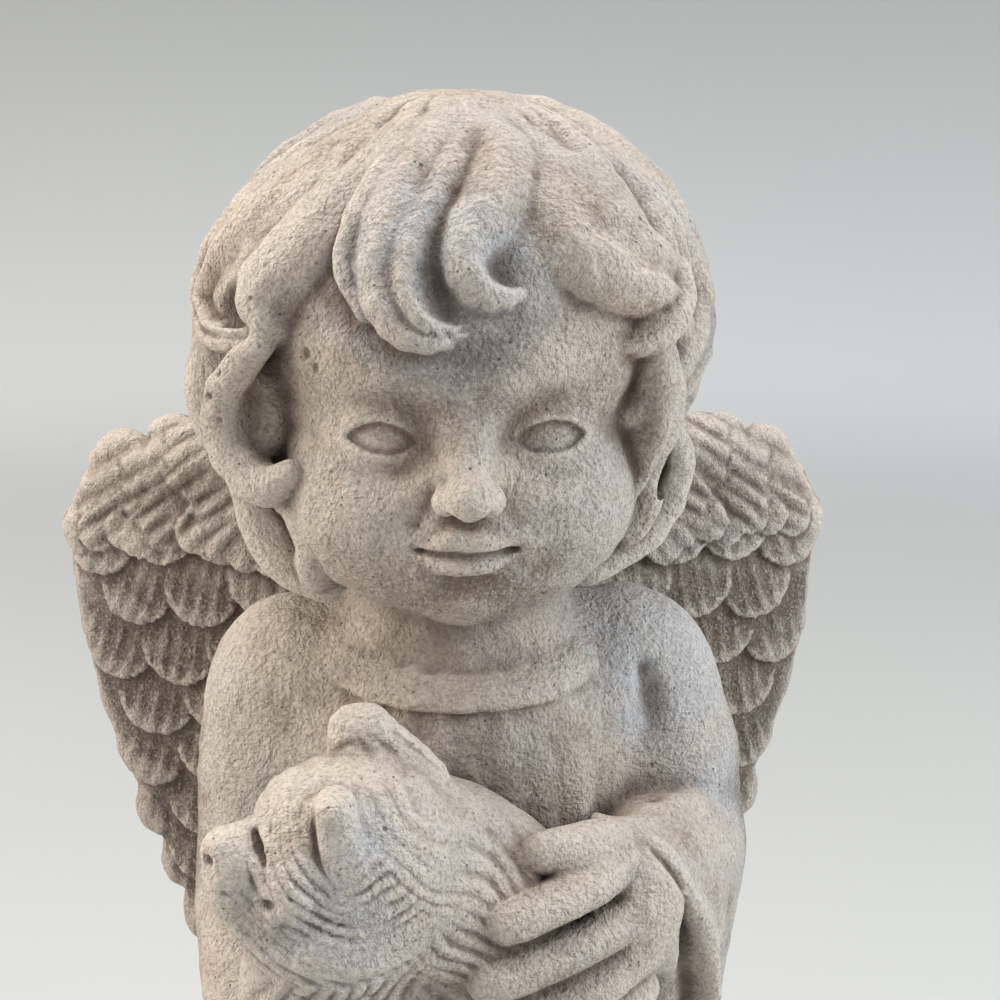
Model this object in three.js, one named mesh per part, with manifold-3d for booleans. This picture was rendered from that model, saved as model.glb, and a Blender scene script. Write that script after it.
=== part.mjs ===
// A cast stone garden putto: a winged child in a long robe, holding a small dog, on a low oval plinth.
// The figure, its wings, the dog and the plinth are one casting, so they are joined into one solid.
// Millimetres, +Z up. The child faces -Y and its left side is +X. The origin is the middle of the underside.
import * as THREE from "three";
import { ParametricGeometry } from "three/addons/geometries/ParametricGeometry.js";
import { mergeVertices } from "three/addons/utils/BufferGeometryUtils.js";
import Module from "manifold-3d";

const wasm = await Module();
wasm.setup();

// ---- Driving dimensions ----
const HEIGHT = 354; // top of the hair
const PLINTH = { halfX: 66, halfY: 63, height: 16, chamfer: 3 };
const HEM_Z = 12; // the robe's lower end, sunk in the plinth's top
const NECK_Z = 256; // where the robe's neck closes
const FOLDS = { count: 11, depth: 3.2, fade: 150, sway: 0.5 };
const HAIR = { centre: [0, 3, 307], radii: [50, 50, HEIGHT - 307] };
const WING = { root: 32, lean: 0.3, thickness: 7, top: 285, tip: 88 };
const STONE = 0xb3a697;

// ---- Turning surfaces into solids ----
const point = ([x, y, z]) => new THREE.Vector3(x, y, z);

// A closed three.js geometry as a manifold-3d solid, with its shared vertices merged and its faces outwards.
function solid(geometry) {
  const bare = geometry.index ? geometry.clone() : geometry;
  bare.deleteAttribute("normal");
  bare.deleteAttribute("uv");
  const merged = mergeVertices(bare, 1e-3);
  const corners = [];
  const index = merged.index.array;
  for (let i = 0; i < index.length; i += 3) {
    const [a, b, c] = index.slice(i, i + 3);
    if (a !== b && b !== c && c !== a) corners.push(a, b, c);
  }
  const build = (list) =>
    new wasm.Manifold(
      new wasm.Mesh({
        numProp: 3,
        vertProperties: new Float32Array(merged.attributes.position.array),
        triVerts: new Uint32Array(list),
      }),
    );
  const made = build(corners);
  return made.volume() > 0 ? made : build(corners.reverse());
}

// A closed skin: pointAt(turn, along) with turn from 0 to 2 pi, closed to a point at both ends.
function skin(sides, rows, pointAt) {
  const place = (u, v, target) => target.copy(pointAt(u === 1 ? 0 : u * 2 * Math.PI, v));
  return solid(new ParametricGeometry(place, sides, rows));
}

// An ellipsoid, turned about X, Y and Z in degrees.
function ball(centre, radii, turn = [0, 0, 0], sides = 10, rows = 6) {
  const made = new THREE.SphereGeometry(1, sides, rows);
  const turned = new THREE.Euler(...turn.map(THREE.MathUtils.degToRad));
  made.applyMatrix4(
    new THREE.Matrix4().compose(
      point(centre),
      new THREE.Quaternion().setFromEuler(turned),
      point(radii),
    ),
  );
  return solid(made);
}

// A tapering limb or lock along a smooth curve. Each stop is [x, y, z, radius]; flat squeezes it along a direction.
function limb(stops, { sides = 5, rows = 5, flat = null, squeeze = 1 } = {}) {
  const path = new THREE.CatmullRomCurve3(stops.map(point), false, "centripetal");
  const radius = new THREE.SplineCurve(stops.map((s, i) => new THREE.Vector2(i, s[3])));
  const frames = path.computeFrenetFrames(rows, false);
  const thin = flat ? point(flat).normalize() : null;
  return skin(sides, rows, (turn, along) => {
    const k = Math.round(along * rows);
    const t = THREE.MathUtils.clamp((k - 0.5) / (rows - 1), 0, 1);
    const middle = path.getPoint(t);
    const cap = k === 0 || k === rows ? 0 : 1;
    const r = radius.getPoint(t).y;
    const out = frames.normals[k]
      .clone()
      .multiplyScalar(Math.cos(turn))
      .addScaledVector(frames.binormals[k], Math.sin(turn))
      .multiplyScalar(r * cap);
    if (thin) out.addScaledVector(thin, (squeeze - 1) * out.dot(thin));
    if (!cap) middle.addScaledVector(frames.tangents[k], (k ? 1 : -1) * 0.5 * r);
    return middle.add(out);
  });
}

const join = (solids) => solids.reduce((whole, one) => whole.add(one));

// ---- Plinth ----
function plinth() {
  const { halfX, halfY, height, chamfer } = PLINTH;
  const profile = [
    [0, 0],
    [1 - chamfer / halfX, 0],
    [1, chamfer],
    [0.985, height - 2 * chamfer],
    [0.93, height],
    [0, height],
  ];
  const turned = new THREE.LatheGeometry(
    profile.map(([r, z]) => new THREE.Vector2(r, z)),
    28,
  );
  turned.rotateX(Math.PI / 2);
  turned.scale(halfX, halfY, 1);
  return solid(turned);
}

// ---- Robe and shoulders ----
// The robe's section is an ellipse at each height: [height, half width, half depth, middle's y].
const ROBE = [
  [HEM_Z, 53, 46, 1],
  [34, 54, 47, 1],
  [64, 50, 44, 2],
  [100, 46, 41, 3],
  [140, 43, 38, 3],
  [180, 42, 36, 3],
  [212, 43, 34, 3],
  [232, 43, 31, 3],
  [244, 36, 26, 2],
  [NECK_Z, 20, 20, 0],
];

function robe() {
  const rows = ROBE.length + 1;
  return skin(FOLDS.count * 4, rows, (turn, along) => {
    const row = Math.round(along * rows);
    const [z, halfX, halfY, middleY] = ROBE[THREE.MathUtils.clamp(row - 1, 0, ROBE.length - 1)];
    const cap = row === 0 || row === rows ? 0 : 1;
    const hang = THREE.MathUtils.clamp(1 - (z - HEM_Z) / FOLDS.fade, 0, 1);
    const fold = FOLDS.depth * hang * Math.cos(FOLDS.count * turn + FOLDS.sway * Math.sin(z / 30));
    return new THREE.Vector3(
      cap * (halfX + fold) * Math.sin(turn),
      middleY - cap * (halfY + fold) * Math.cos(turn),
      z,
    );
  });
}

// A round neckband, lower at the front.
function collar() {
  const band = new THREE.TorusGeometry(1, 0.16, 5, 18);
  band.scale(29, 28, 26);
  band.rotateX(THREE.MathUtils.degToRad(15));
  band.translate(0, -2, 246);
  return solid(band);
}

// ---- Arms ----
const LEFT_SLEEVE = [
  [38, 3, 230, 17],
  [43, 2, 212, 17],
  [44, -5, 194, 17],
  [41, -18, 190, 18],
  [35, -32, 196, 18],
  [30, -40, 203, 16],
];
// The wide end of the left sleeve hangs below the wrist.
const LEFT_DRAPE = [
  [42, -14, 190, 16],
  [43, -20, 168, 15],
  [42, -22, 146, 10],
  [41, -22, 128, 4],
];
const RIGHT_SLEEVE = [
  [-36, 3, 228, 17],
  [-39, 1, 210, 15],
  [-40, -6, 190, 15],
  [-37, -20, 173, 15],
  [-28, -36, 164, 12],
];

// A hand: a palm and fingers, each from a knuckle to a tip.
function hand(palm, fingers, radius) {
  const digits = fingers.map(([knuckle, bend, tip]) =>
    limb([[...knuckle, radius], [...bend, radius], [...tip, radius * 0.85]], { rows: 4 }),
  );
  return join([ball(palm.centre, palm.radii, palm.turn), ...digits]);
}

function arms() {
  const leftHand = hand(
    { centre: [27, -48, 207], radii: [11, 7, 13], turn: [0, 0, 20] },
    [
      [[24, -53, 216], [14, -59, 214], [4, -62, 209]],
      [[28, -54, 208], [15, -62, 206], [2, -64, 200]],
      [[29, -54, 200], [16, -62, 197], [5, -64, 192]],
      [[28, -52, 193], [18, -60, 189], [9, -61, 185]],
      [[20, -47, 221], [15, -52, 223], [9, -56, 221]],
    ],
    4.2,
  );
  const rightHand = hand(
    { centre: [-12, -48, 160], radii: [16, 9, 9], turn: [0, 0, 0] },
    [168, 162, 156, 150].map((z, i) => [
      [-4, -56, z],
      [8, -59 + i, z + 1],
      [19, -54 + i, z + 3],
    ]),
    4,
  );
  return join([
    ball([38, 3, 228], [18, 17, 20]),
    ball([-36, 3, 228], [18, 17, 20]),
    limb(LEFT_SLEEVE, { sides: 10, rows: 7 }),
    limb(LEFT_DRAPE, { sides: 8, rows: 5 }),
    limb(RIGHT_SLEEVE, { sides: 10, rows: 7 }),
    leftHand,
    rightHand,
  ]);
}

// ---- Head ----
function face() {
  const pair = (centre, radii, turn = [0, 0, 0], sides = 9, rows = 6) => [
    ball(centre, radii, turn, sides, rows),
    ball([-centre[0], centre[1], centre[2]], radii, turn, sides, rows),
  ];
  const lip = (z, drop, radius) =>
    limb(
      [
        [-7, -39, z, radius * 0.6],
        [0, -42.5, z + drop, radius],
        [7, -39, z, radius * 0.6],
      ],
      { rows: 4 },
    );
  return join([
    limb([[0, 2, 240, 20], [0, -3, 256, 19], [0, -6, 272, 20]], { sides: 10, rows: 4 }),
    ball([0, -11, 288], [36, 35, 31], [0, 0, 0], 16, 9),
    ...pair([16, -27, 275], [16, 14, 14]),
    ball([0, -34, 264], [12, 10, 8]),
    limb([[0, -42, 297, 3], [0, -46, 288, 3.4], [0, -49, 281, 4.6]], { sides: 7, rows: 4 }),
    ...pair([4, -45, 279.5], [3, 3.4, 2.8], [0, 0, 0], 6, 4),
    lip(272.5, 0.8, 2.6),
    lip(268, -0.8, 2.8),
    ...pair([13, -38.5, 289], [6, 4, 3.4], [0, 0, 0], 8, 5),
  ]);
}

// A place on the hair's round form: degrees round from the front (+ towards +X), degrees up, sunk inwards by depth.
function onHair(round, up, depth = 0) {
  const [a, e] = [round, up].map(THREE.MathUtils.degToRad);
  const way = [Math.sin(a) * Math.cos(e), -Math.cos(a) * Math.cos(e), Math.sin(e)];
  return way.map((w, i) => HAIR.centre[i] + w * (HAIR.radii[i] - depth));
}

// Each lock runs over the hair from the crown: stops of [round, up, radius].
const LOCKS = [
  [[14, 62, 5], [2, 47, 6], [-12, 30, 7], [-19, 16, 6], [-14, 6, 5], [-3, 5, 3]],
  [[15, 60, 4], [10, 45, 5], [-3, 30, 5], [-8, 20, 5], [-6, 11, 3]],
  [[18, 60, 4], [16, 46, 5], [13, 34, 6], [1, 25, 5], [-3, 16, 5], [1, 11, 4], [9, 11, 3]],
  [[28, 58, 8], [36, 36, 11], [46, 21, 12], [52, 9, 9], [44, 1, 5]],
  [[50, 60, 7], [60, 34, 9], [70, 12, 10], [66, -6, 8], [54, -14, 5]],
  [[80, 56, 8], [86, 30, 9], [90, 8, 9], [86, -14, 7]],
  [[-8, 60, 8], [-32, 38, 11], [-46, 23, 12], [-62, 12, 10], [-60, 2, 8], [-48, 1, 5]],
  [[-38, 62, 7], [-62, 38, 9], [-78, 16, 9], [-80, -2, 8], [-72, -10, 5]],
  [[-90, 40, 8], [-96, 12, 9], [-92, -10, 9], [-82, -26, 6]],
];

// The side curls beside the cheeks and ears, as [x, y, z, radius].
const SIDE_CURLS = [
  [[-36, -24, 307, 5], [-42, -20, 298, 5.5], [-41, -20, 288, 6], [-35, -24, 283, 5]],
  [[-36, -20, 284, 5], [-39, -14, 275, 6], [-35, -12, 266, 6], [-28, -16, 261, 5]],
  [[37, -20, 296, 5], [40, -16, 288, 5.5], [41, -12, 279, 6], [35, -13, 270, 5.5], [28, -16, 265, 5]],
];

function hair() {
  const [cx, cy, cz] = HAIR.centre;
  const [rx, ry, rz] = HAIR.radii;
  const parts = [ball([cx, cy + 4, cz], [rx - 3, ry - 5, rz], [0, 0, 0], 20, 9)];
  parts.push(ball([0, 14, 282], [40, 30, 26], [0, 0, 0], 12, 7));
  for (const stops of LOCKS) {
    const laid = stops.map(([round, up, r]) => [...onHair(round, up, 0.75 * r), r]);
    parts.push(limb(laid, { rows: 6 }));
  }
  for (const stops of SIDE_CURLS) parts.push(limb(stops, { rows: 6 }));
  for (let round = 120; round <= 240; round += 40) {
    const sweep = 12 * Math.sign(180 - round);
    const stops = [[70, 6], [40, 11], [8, 14], [-22, 11], [-44, 6]];
    const laid = stops.map(([up, r], i) => [...onHair(round + (i - 2) * sweep * 0.3, up, 0.7 * r), r]);
    parts.push(limb(laid));
  }
  return join(parts);
}

// ---- Wings ----
// A wing is built flat, facing -Y: a blade of long feathers with stepped plates of short feathers over it.
// Each row of short feathers is a plate with a scalloped lower edge: [edge height, feather width, thickness].
const FEATHER_ROWS = [
  [180, 16, 10],
  [197, 17, 13],
  [214, 18, 16],
  [231, 18, 19],
  [248, 19, 21],
];
const WING_REACH = 96; // beyond the outer edge
// The long feathers' ends step down the outer edge to the tip: [x, z] of each end.
const LONG_ENDS = [[70, 160], [61, 134], [53, 111], [45, WING.tip]];

function wingOutline() {
  const outline = new THREE.Shape();
  outline.moveTo(2, 262);
  outline.quadraticCurveTo(30, WING.top, 60, WING.top - 3);
  outline.quadraticCurveTo(96, 276, 95, 244);
  outline.quadraticCurveTo(93, 207, 77, 182);
  let [x, z] = [77, 182];
  for (const [endX, endZ] of LONG_ENDS) {
    outline.quadraticCurveTo(x - 2, (z + endZ) / 2 - 4, endX, endZ);
    [x, z] = [endX - 1, endZ + 6];
    outline.lineTo(x, z);
  }
  outline.quadraticCurveTo(34, 100, 28, 135);
  outline.quadraticCurveTo(16, 180, 2, 200);
  return outline;
}

// A flat slab of the given thickness, standing in the XZ plane about y = 0.
function slab(shape, thickness, curveSegments) {
  const made = new THREE.ExtrudeGeometry(shape, { depth: thickness, bevelEnabled: false, curveSegments });
  made.rotateX(Math.PI / 2);
  made.translate(0, thickness / 2, 0);
  return solid(made);
}

// The region above a row's scalloped edge.
function scallops(edge, width) {
  const region = new THREE.Shape();
  region.moveTo(-2, WING.top + 10);
  region.lineTo(-2, edge + 4);
  for (let x = -2; x < WING_REACH; x += width) {
    region.quadraticCurveTo(x + width / 2, edge - 5, x + width, edge + 4);
  }
  region.lineTo(WING_REACH + width, WING.top + 10);
  return region;
}

function wing(side) {
  const outline = wingOutline();
  const shoulder = [[8, 0, 262, 9], [34, -1, 273, 10], [62, -1, 272, 10], [82, 0, 260, 9], [87, 0, 242, 7]];
  const parts = [
    slab(outline, WING.thickness, 3),
    limb(shoulder, { sides: 7, rows: 6, flat: [0, 1, 0], squeeze: 0.9 }),
  ];
  for (const [edge, width, thickness] of FEATHER_ROWS) {
    parts.push(slab(outline, thickness, 3).intersect(slab(scallops(edge, width), thickness + 2, 2)));
  }
  // Lean the wing back towards its outer edge and put it on the shoulder blades.
  const placed = new THREE.Matrix4()
    .makeTranslation(0, WING.root, 0)
    .multiply(new THREE.Matrix4().makeRotationZ(Math.atan(WING.lean)));
  if (side < 0) placed.premultiply(new THREE.Matrix4().makeScale(-1, 1, 1));
  return join(parts).transform(placed.elements);
}

// ---- Dog ----
function dog() {
  return join([
    ball([-20, -55, 227], [17, 17, 18], [0, 0, 0], 12, 8),
    ball([-23, -60, 216], [16, 15, 12]),
    limb([[-28, -62, 228, 10], [-36, -64, 227, 9], [-42, -65, 226, 6]], { sides: 7, rows: 4 }),
    limb([[-27, -64, 219, 8], [-35, -65, 219, 6]], { rows: 3 }),
    limb([[-19, -48, 238, 7], [-20, -48, 244, 5], [-21, -48, 249, 2]], { rows: 4 }),
    limb([[-22, -68, 243, 5], [-21, -74, 236, 6], [-20, -75, 229, 4]], { rows: 4, flat: [0, 1, 0], squeeze: 0.6 }),
    limb([[-14, -48, 220, 18], [4, -44, 206, 21], [12, -40, 186, 21], [8, -36, 168, 19]], { sides: 12, rows: 7 }),
    ball([-27, -52, 198], [14, 15, 14]),
    limb([[-26, -56, 196, 8], [-27, -64, 182, 7], [-27, -67, 171, 6]]),
    limb([[-12, -58, 192, 8], [-12, -66, 180, 7], [-12, -68, 169, 6]]),
  ]);
}

// ---- Feet ----
function feet() {
  const parts = [];
  for (const side of [-1, 1]) {
    parts.push(ball([17 * side, -42, 21], [10, 16, 9], [0, 0, 6 * side], 8, 5));
    for (let toe = 0; toe < 5; toe += 1) {
      const x = side * (10 + 3.6 * toe);
      const size = toe === 0 ? 3.4 : 2.6 - 0.15 * toe;
      parts.push(ball([x, -57 + 0.3 * toe * toe, 18.6], [size, size * 1.4, size], [0, 0, 0], 5, 4));
    }
  }
  return join(parts);
}

const whole = join([plinth(), robe(), collar(), arms(), face(), hair(), wing(1), wing(-1), dog(), feet()]);

const { vertProperties, numProp, triVerts, numVert } = whole.getMesh();
const places = new Float32Array(numVert * 3);
for (let i = 0; i < numVert; i += 1) {
  places.set(vertProperties.subarray(i * numProp, i * numProp + 3), i * 3);
}
const geometry = new THREE.BufferGeometry();
geometry.setAttribute("position", new THREE.BufferAttribute(places, 3));
geometry.setIndex(new THREE.BufferAttribute(triVerts, 1));
geometry.computeVertexNormals();

const stone = new THREE.MeshStandardMaterial({ color: STONE, roughness: 0.9, metalness: 0 });
const statue = new THREE.Mesh(geometry, stone);
statue.name = "putto_statue";
const group = new THREE.Group();
group.add(statue);

export default group;
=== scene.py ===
"""Looks of the cast stone putto: the fine carving as one closed mesh, and its weathered stone."""

import math

import bpy
import numpy as np
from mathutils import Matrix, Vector


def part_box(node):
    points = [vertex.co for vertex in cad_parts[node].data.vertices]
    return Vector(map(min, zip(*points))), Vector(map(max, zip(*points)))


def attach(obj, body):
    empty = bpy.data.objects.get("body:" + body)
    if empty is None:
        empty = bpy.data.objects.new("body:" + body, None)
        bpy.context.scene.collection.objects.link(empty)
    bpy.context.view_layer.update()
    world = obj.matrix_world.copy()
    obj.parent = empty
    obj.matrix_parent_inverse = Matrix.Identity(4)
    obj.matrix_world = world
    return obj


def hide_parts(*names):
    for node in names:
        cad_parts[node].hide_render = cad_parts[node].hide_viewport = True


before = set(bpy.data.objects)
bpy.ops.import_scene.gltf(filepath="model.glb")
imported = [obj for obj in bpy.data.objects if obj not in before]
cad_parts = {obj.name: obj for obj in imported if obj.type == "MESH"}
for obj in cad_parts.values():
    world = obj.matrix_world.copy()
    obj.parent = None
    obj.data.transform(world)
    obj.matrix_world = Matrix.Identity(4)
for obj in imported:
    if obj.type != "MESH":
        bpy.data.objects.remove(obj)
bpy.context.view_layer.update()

# ---- Measures ----
# Every length below is in units of a 354th of the statue's height, about a millimetre.
# The statue faces -Y, its left side is +X, and the middle of its underside is the origin.
box_low, box_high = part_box("putto_statue")
HEIGHT = 354
UNIT = (box_high[2] - box_low[2]) / HEIGHT
STEP = 0.6  # between samples of the block
FAR = 12.0  # the most a sample holds
TRIANGLES = 190000  # left on the finished mesh

HAIR_CENTRE = np.array([0, 3, 307])
HAIR_RADII = np.array([51, 51, 47])


# ---- Sculpting tools ----
# The casting is one piece whose parts melt into each other, so it is sculpted as a block of samples. Each
# sample holds its distance to the surface, less than 0 inside the stone. Shapes are added to the block and
# cut from it, and the surface where the distance is 0 becomes the mesh.
def smooth_min(a, b, blend):
    """The lesser of a and b, rounded where they differ by less than blend: min(a, b) - blend h^2 / 4."""
    if blend <= 0:
        return np.minimum(a, b)
    h = np.maximum(blend - np.abs(a - b), 0) / blend
    return np.minimum(a, b) - h * h * (0.25 * blend)


class Block:
    """Samples on a cubic grid, with the coordinates along its three axes."""

    def __init__(self, axes):
        self.axes = axes
        self.value = np.full([len(axis) for axis in axes], FAR, np.float32)

    def slices(self, low, high):
        """The samples between two corners."""
        cut = []
        for axis, start, end in zip(self.axes, low, high):
            first = int(np.clip(np.floor((start - axis[0]) / STEP), 0, len(axis)))
            last = int(np.clip(np.ceil((end - axis[0]) / STEP) + 1, 0, len(axis)))
            cut.append(slice(first, last))
        return tuple(cut)

    def grid(self, cut):
        """The x, y and z of the samples, as open arrays."""
        return np.ix_(*[axis[part] for axis, part in zip(self.axes, cut)])

    def piece(self, low, high):
        """An empty block over part of this one, to be worked apart and joined on."""
        cut = self.slices(low, high)
        part = Block([axis[c] for axis, c in zip(self.axes, cut)])
        part.place = cut
        return part

    def merge(self, cut, distance, blend, carve=False):
        """Adds a shape to the block, or cuts it out."""
        here = self.value[cut]
        if carve:
            self.value[cut] = -smooth_min(-here, distance, blend)
        else:
            self.value[cut] = smooth_min(here, distance, blend)

    def join(self, part, blend):
        """Adds a piece that was worked apart."""
        self.merge(part.place, part.value, blend)


def turning(degrees):
    """The matrix of turns about X, then Y, then Z."""
    (cx, cy, cz), (sx, sy, sz) = np.cos(np.radians(degrees)), np.sin(np.radians(degrees))
    about_x = np.array([[1, 0, 0], [0, cx, -sx], [0, sx, cx]])
    about_y = np.array([[cy, 0, sy], [0, 1, 0], [-sy, 0, cy]])
    about_z = np.array([[cz, -sz, 0], [sz, cz, 0], [0, 0, 1]])
    return about_z @ about_y @ about_x


def oval_distance(offsets, radii):
    """About how far a place lies outside an ellipse or an ellipsoid: k0 (k0 - 1) / k1.

    k0 and k1 are the lengths of the offsets from its middle, over the radii once and twice.
    """
    once = np.sqrt(sum((offset / radius) ** 2 for offset, radius in zip(offsets, radii)) + 1e-6)
    twice = np.sqrt(sum((offset / radius**2) ** 2 for offset, radius in zip(offsets, radii)) + 1e-9)
    return once * (once - 1) / twice


def ball(block, centre, radii, turn=(0, 0, 0), blend=2.0, carve=False):
    """An ellipsoid, turned about its centre."""
    spin = turning(turn)
    reach = np.sqrt(((spin * np.array(radii, float)) ** 2).sum(1)) + blend + 2
    cut = block.slices(np.array(centre) - reach, np.array(centre) + reach)
    x, y, z = [a - c for a, c in zip(block.grid(cut), centre)]
    offsets = [x * axis[0] + y * axis[1] + z * axis[2] for axis in spin.T]
    block.merge(cut, oval_distance(offsets, radii).astype(np.float32), blend, carve)


def smooth_path(stops, spacing):
    """Rows along a cubic Hermite curve through the stops, each with the slope of its neighbours' chord."""
    stops = np.array(stops, float)
    run = np.concatenate([[0], np.cumsum(np.linalg.norm(np.diff(stops[:, :3], axis=0), axis=1))])
    slope = np.gradient(stops, run, axis=0)
    at = np.linspace(0, run[-1], max(3, int(run[-1] / spacing) + 1))
    i = np.clip(np.searchsorted(run, at, side="right") - 1, 0, len(run) - 2)
    gap = (run[i + 1] - run[i])[:, None]
    t = (at - run[i])[:, None] / gap
    return (
        (2 * t**3 - 3 * t**2 + 1) * stops[i]
        + (t**3 - 2 * t**2 + t) * gap * slope[i]
        + (3 * t**2 - 2 * t**3) * stops[i + 1]
        + (t**3 - t**2) * gap * slope[i + 1]
    )


def unit(rows):
    """The rows' directions, each with a length of 1."""
    return rows / np.maximum(np.linalg.norm(rows, axis=-1, keepdims=True), 1e-9)


def sweep(block, stops, facing=(0, -1, 0), blend=1.0, carve=False, strands=0, depth=0.0, drift=0.0):
    """A lock, limb or fold: an ellipse carried along a curve.

    Each stop is x, y, z, half width, half height, and the height lies along facing, a direction or a
    function of the curve's points. Each short length has its own distance, and the least of them counts.
    Strands cut grooves along the top: depth times (0.5 + 0.5 cos 2 pi f)^2, where f is the place across one
    strand from 0 to 1. They deepen away from the curve's start, and noise along it makes them uneven.
    """
    rows = smooth_path(stops, 2.4)
    spine, wide, high = rows[:, :3], np.maximum(rows[:, 3], 0.4), np.maximum(rows[:, 4], 0.4)
    ahead = unit(np.gradient(spine, axis=0))
    up = facing(spine) if callable(facing) else np.broadcast_to(facing, spine.shape)
    side = unit(np.cross(ahead, up))
    up = np.cross(side, ahead)
    margin = blend + 1.5 + depth
    reach = max(wide.max(), high.max()) + margin
    part = block.piece(spine.min(0) - reach, spine.max(0) + reach)
    if part.value.size == 0:
        return
    run = 0.0
    for i in range(len(spine) - 1):
        start, end = spine[i], spine[i + 1]
        length = np.linalg.norm(end - start)
        if length < 1e-6:
            continue
        near = max(wide[i : i + 2].max(), high[i : i + 2].max()) + margin
        cut = part.slices(np.minimum(start, end) - near, np.maximum(start, end) + near)
        x, y, z = [a - c for a, c in zip(part.grid(cut), start)]
        way = (end - start) / length
        raw = x * way[0] + y * way[1] + z * way[2]
        t = np.clip(raw / length, 0, 1).astype(np.float32)
        across = [
            (x * s[0] + y * s[1] + z * s[2]) - raw * (way @ s)
            for s in (side[i], side[i + 1], up[i], up[i + 1])
        ]
        u = across[0] + t * (across[1] - across[0])
        v = across[2] + t * (across[3] - across[2])
        w = wide[i] + t * (wide[i + 1] - wide[i])
        h = high[i] + t * (high[i + 1] - high[i])
        distance = oval_distance((u, v, raw - t * length), (w, h, 0.5 * (w + h)))
        if strands:
            q = np.clip(u / w, -1, 1)
            f = strands * (0.5 + 0.5 * (q + 0.14 * np.sin(3.2 * q + drift)))
            far = run + t * length
            bent = f + 0.18 * noise(0.5 * u, 0.25 * far, 0 * u + 5.3 * drift, 5)
            uneven = 0.75 + 0.4 * noise(0 * u, far, 0 * u + drift, 14)
            valley = (0.5 + 0.5 * np.cos(2 * math.pi * bent)) ** 2 * uneven
            grown = np.clip(0.25 + far / 26, 0, 1)
            distance = distance + depth * grown * valley * np.clip(v / h + 0.35, 0, 1)
        run += length
        part.value[cut] = np.minimum(part.value[cut], distance)
    block.merge(part.place, part.value, blend, carve)


LATTICE = np.random.default_rng(11).random((32, 32, 32)).astype(np.float32) * 2 - 1


def noise(x, y, z, size):
    """Random values from -1 to 1 at the corners of cubes of the given size, eased between the corners."""
    parts = []
    for along in (x, y, z):
        along = along / size
        whole = np.floor(along)
        share = (along - whole).astype(np.float32)
        index = whole.astype(np.int64)
        parts.append((index & 31, (index + 1) & 31, share * share * (3 - 2 * share)))
    (x0, x1, fx), (y0, y1, fy), (z0, z1, fz) = parts
    low = (LATTICE[x0, y0, z0] * (1 - fx) + LATTICE[x1, y0, z0] * fx) * (1 - fy)
    low = low + (LATTICE[x0, y1, z0] * (1 - fx) + LATTICE[x1, y1, z0] * fx) * fy
    high = (LATTICE[x0, y0, z1] * (1 - fx) + LATTICE[x1, y0, z1] * fx) * (1 - fy)
    high = high + (LATTICE[x0, y1, z1] * (1 - fx) + LATTICE[x1, y1, z1] * fx) * fy
    return low * (1 - fz) + high * fz


def mirrored(stops):
    """The same stops on the statue's other side."""
    return [(-x, *rest) for x, *rest in stops]


# ---- Plinth, robe and feet ----
PLINTH = {"half_x": 66, "half_y": 63, "height": 16, "round": 3}
ROBE = [  # height, half width, half depth, middle's y
    (6, 53, 46, 1), (30, 54, 47, 1), (64, 50, 44, 2), (100, 46, 41, 3), (140, 43, 38, 3), (180, 42, 36, 3),
    (212, 43, 34, 3), (228, 42, 31, 2), (240, 35, 27, 1), (250, 25, 21, 0), (262, 16, 16, 0),
]
FOLDS = {"count": 15, "depth": 3.4, "top": 200, "sway": 0.9}
FOOT = {"apart": 17, "out": 7, "toes": 11.2, "toe_step": 3.7, "front": -55.5, "big": 3.5, "small": 2.7}


def plinth(block):
    """A low drum with a rounded edge: the greater of the distances to its oval and to its flat faces."""
    cut = block.slices((-72, -69, -9), (72, 69, PLINTH["height"] + 4))
    x, y, z = block.grid(cut)
    edge = PLINTH["round"]
    sway = 0.8 * noise(x, y, z * 0 + 3, 26)
    beside = oval_distance((x, y), (PLINTH["half_x"] - edge, PLINTH["half_y"] - edge)) + sway
    half = 0.5 * PLINTH["height"]
    above = np.abs(z - half) - (half - edge)
    outside = np.hypot(np.maximum(beside, 0), np.maximum(above, 0))
    value = outside + np.minimum(np.maximum(beside, above), 0) - edge
    block.merge(cut, value.astype(np.float32), 0)


def robe(block):
    """Oval sections at every height. The folds wave their radius by depth (2 |cos|^0.8 - 1) of the turn."""
    cut = block.slices((-64, -58, 4), (64, 60, 266))
    x, y, z = block.grid(cut)
    rows = smooth_path([(row[0], 0, 0, *row[1:]) for row in ROBE], 1.0)
    half_x, half_y, middle = [np.interp(z, rows[:, 0], rows[:, 3 + i]) for i in range(3)]
    across = y - middle
    turn = np.arctan2(x, -across)
    hang = np.clip((FOLDS["top"] - z) / (FOLDS["top"] - 30), 0, 1) ** 0.8
    phase = 0.5 * FOLDS["count"] * turn + FOLDS["sway"] * np.sin(z / 34 + 2 * turn)
    strength = 0.75 + 0.25 * np.sin(3 * turn + 1.3)
    wave = FOLDS["depth"] * hang * strength * (2 * np.abs(np.cos(phase)) ** 0.8 - 1)
    value = oval_distance((x, across), (half_x, half_y)) - wave
    value = np.maximum(value, ROBE[0][0] - z)
    block.merge(cut, value.astype(np.float32), 0)


def feet(block):
    """The feet under the hem, and their toes in a curve from the big one outwards."""
    for side in (-1, 1):
        ball(block, (FOOT["apart"] * side, -40, 20), (9.5, 16, 8), (0, 0, FOOT["out"] * side), blend=1.5)
        for toe in range(5):
            size = FOOT["big"] if toe == 0 else FOOT["small"] - 0.2 * toe
            x = side * (FOOT["toes"] + FOOT["toe_step"] * toe + (0.8 if toe else 0))
            y = FOOT["front"] + 0.42 * toe * toe
            stops = [
                (x, y + 9, 19.5, size, size), (x, y + 2, 19.6, size, size), (x, y, 18.4, size, size * 0.9),
            ]
            sweep(block, stops, facing=(0, 0, 1), blend=0.8)


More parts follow.
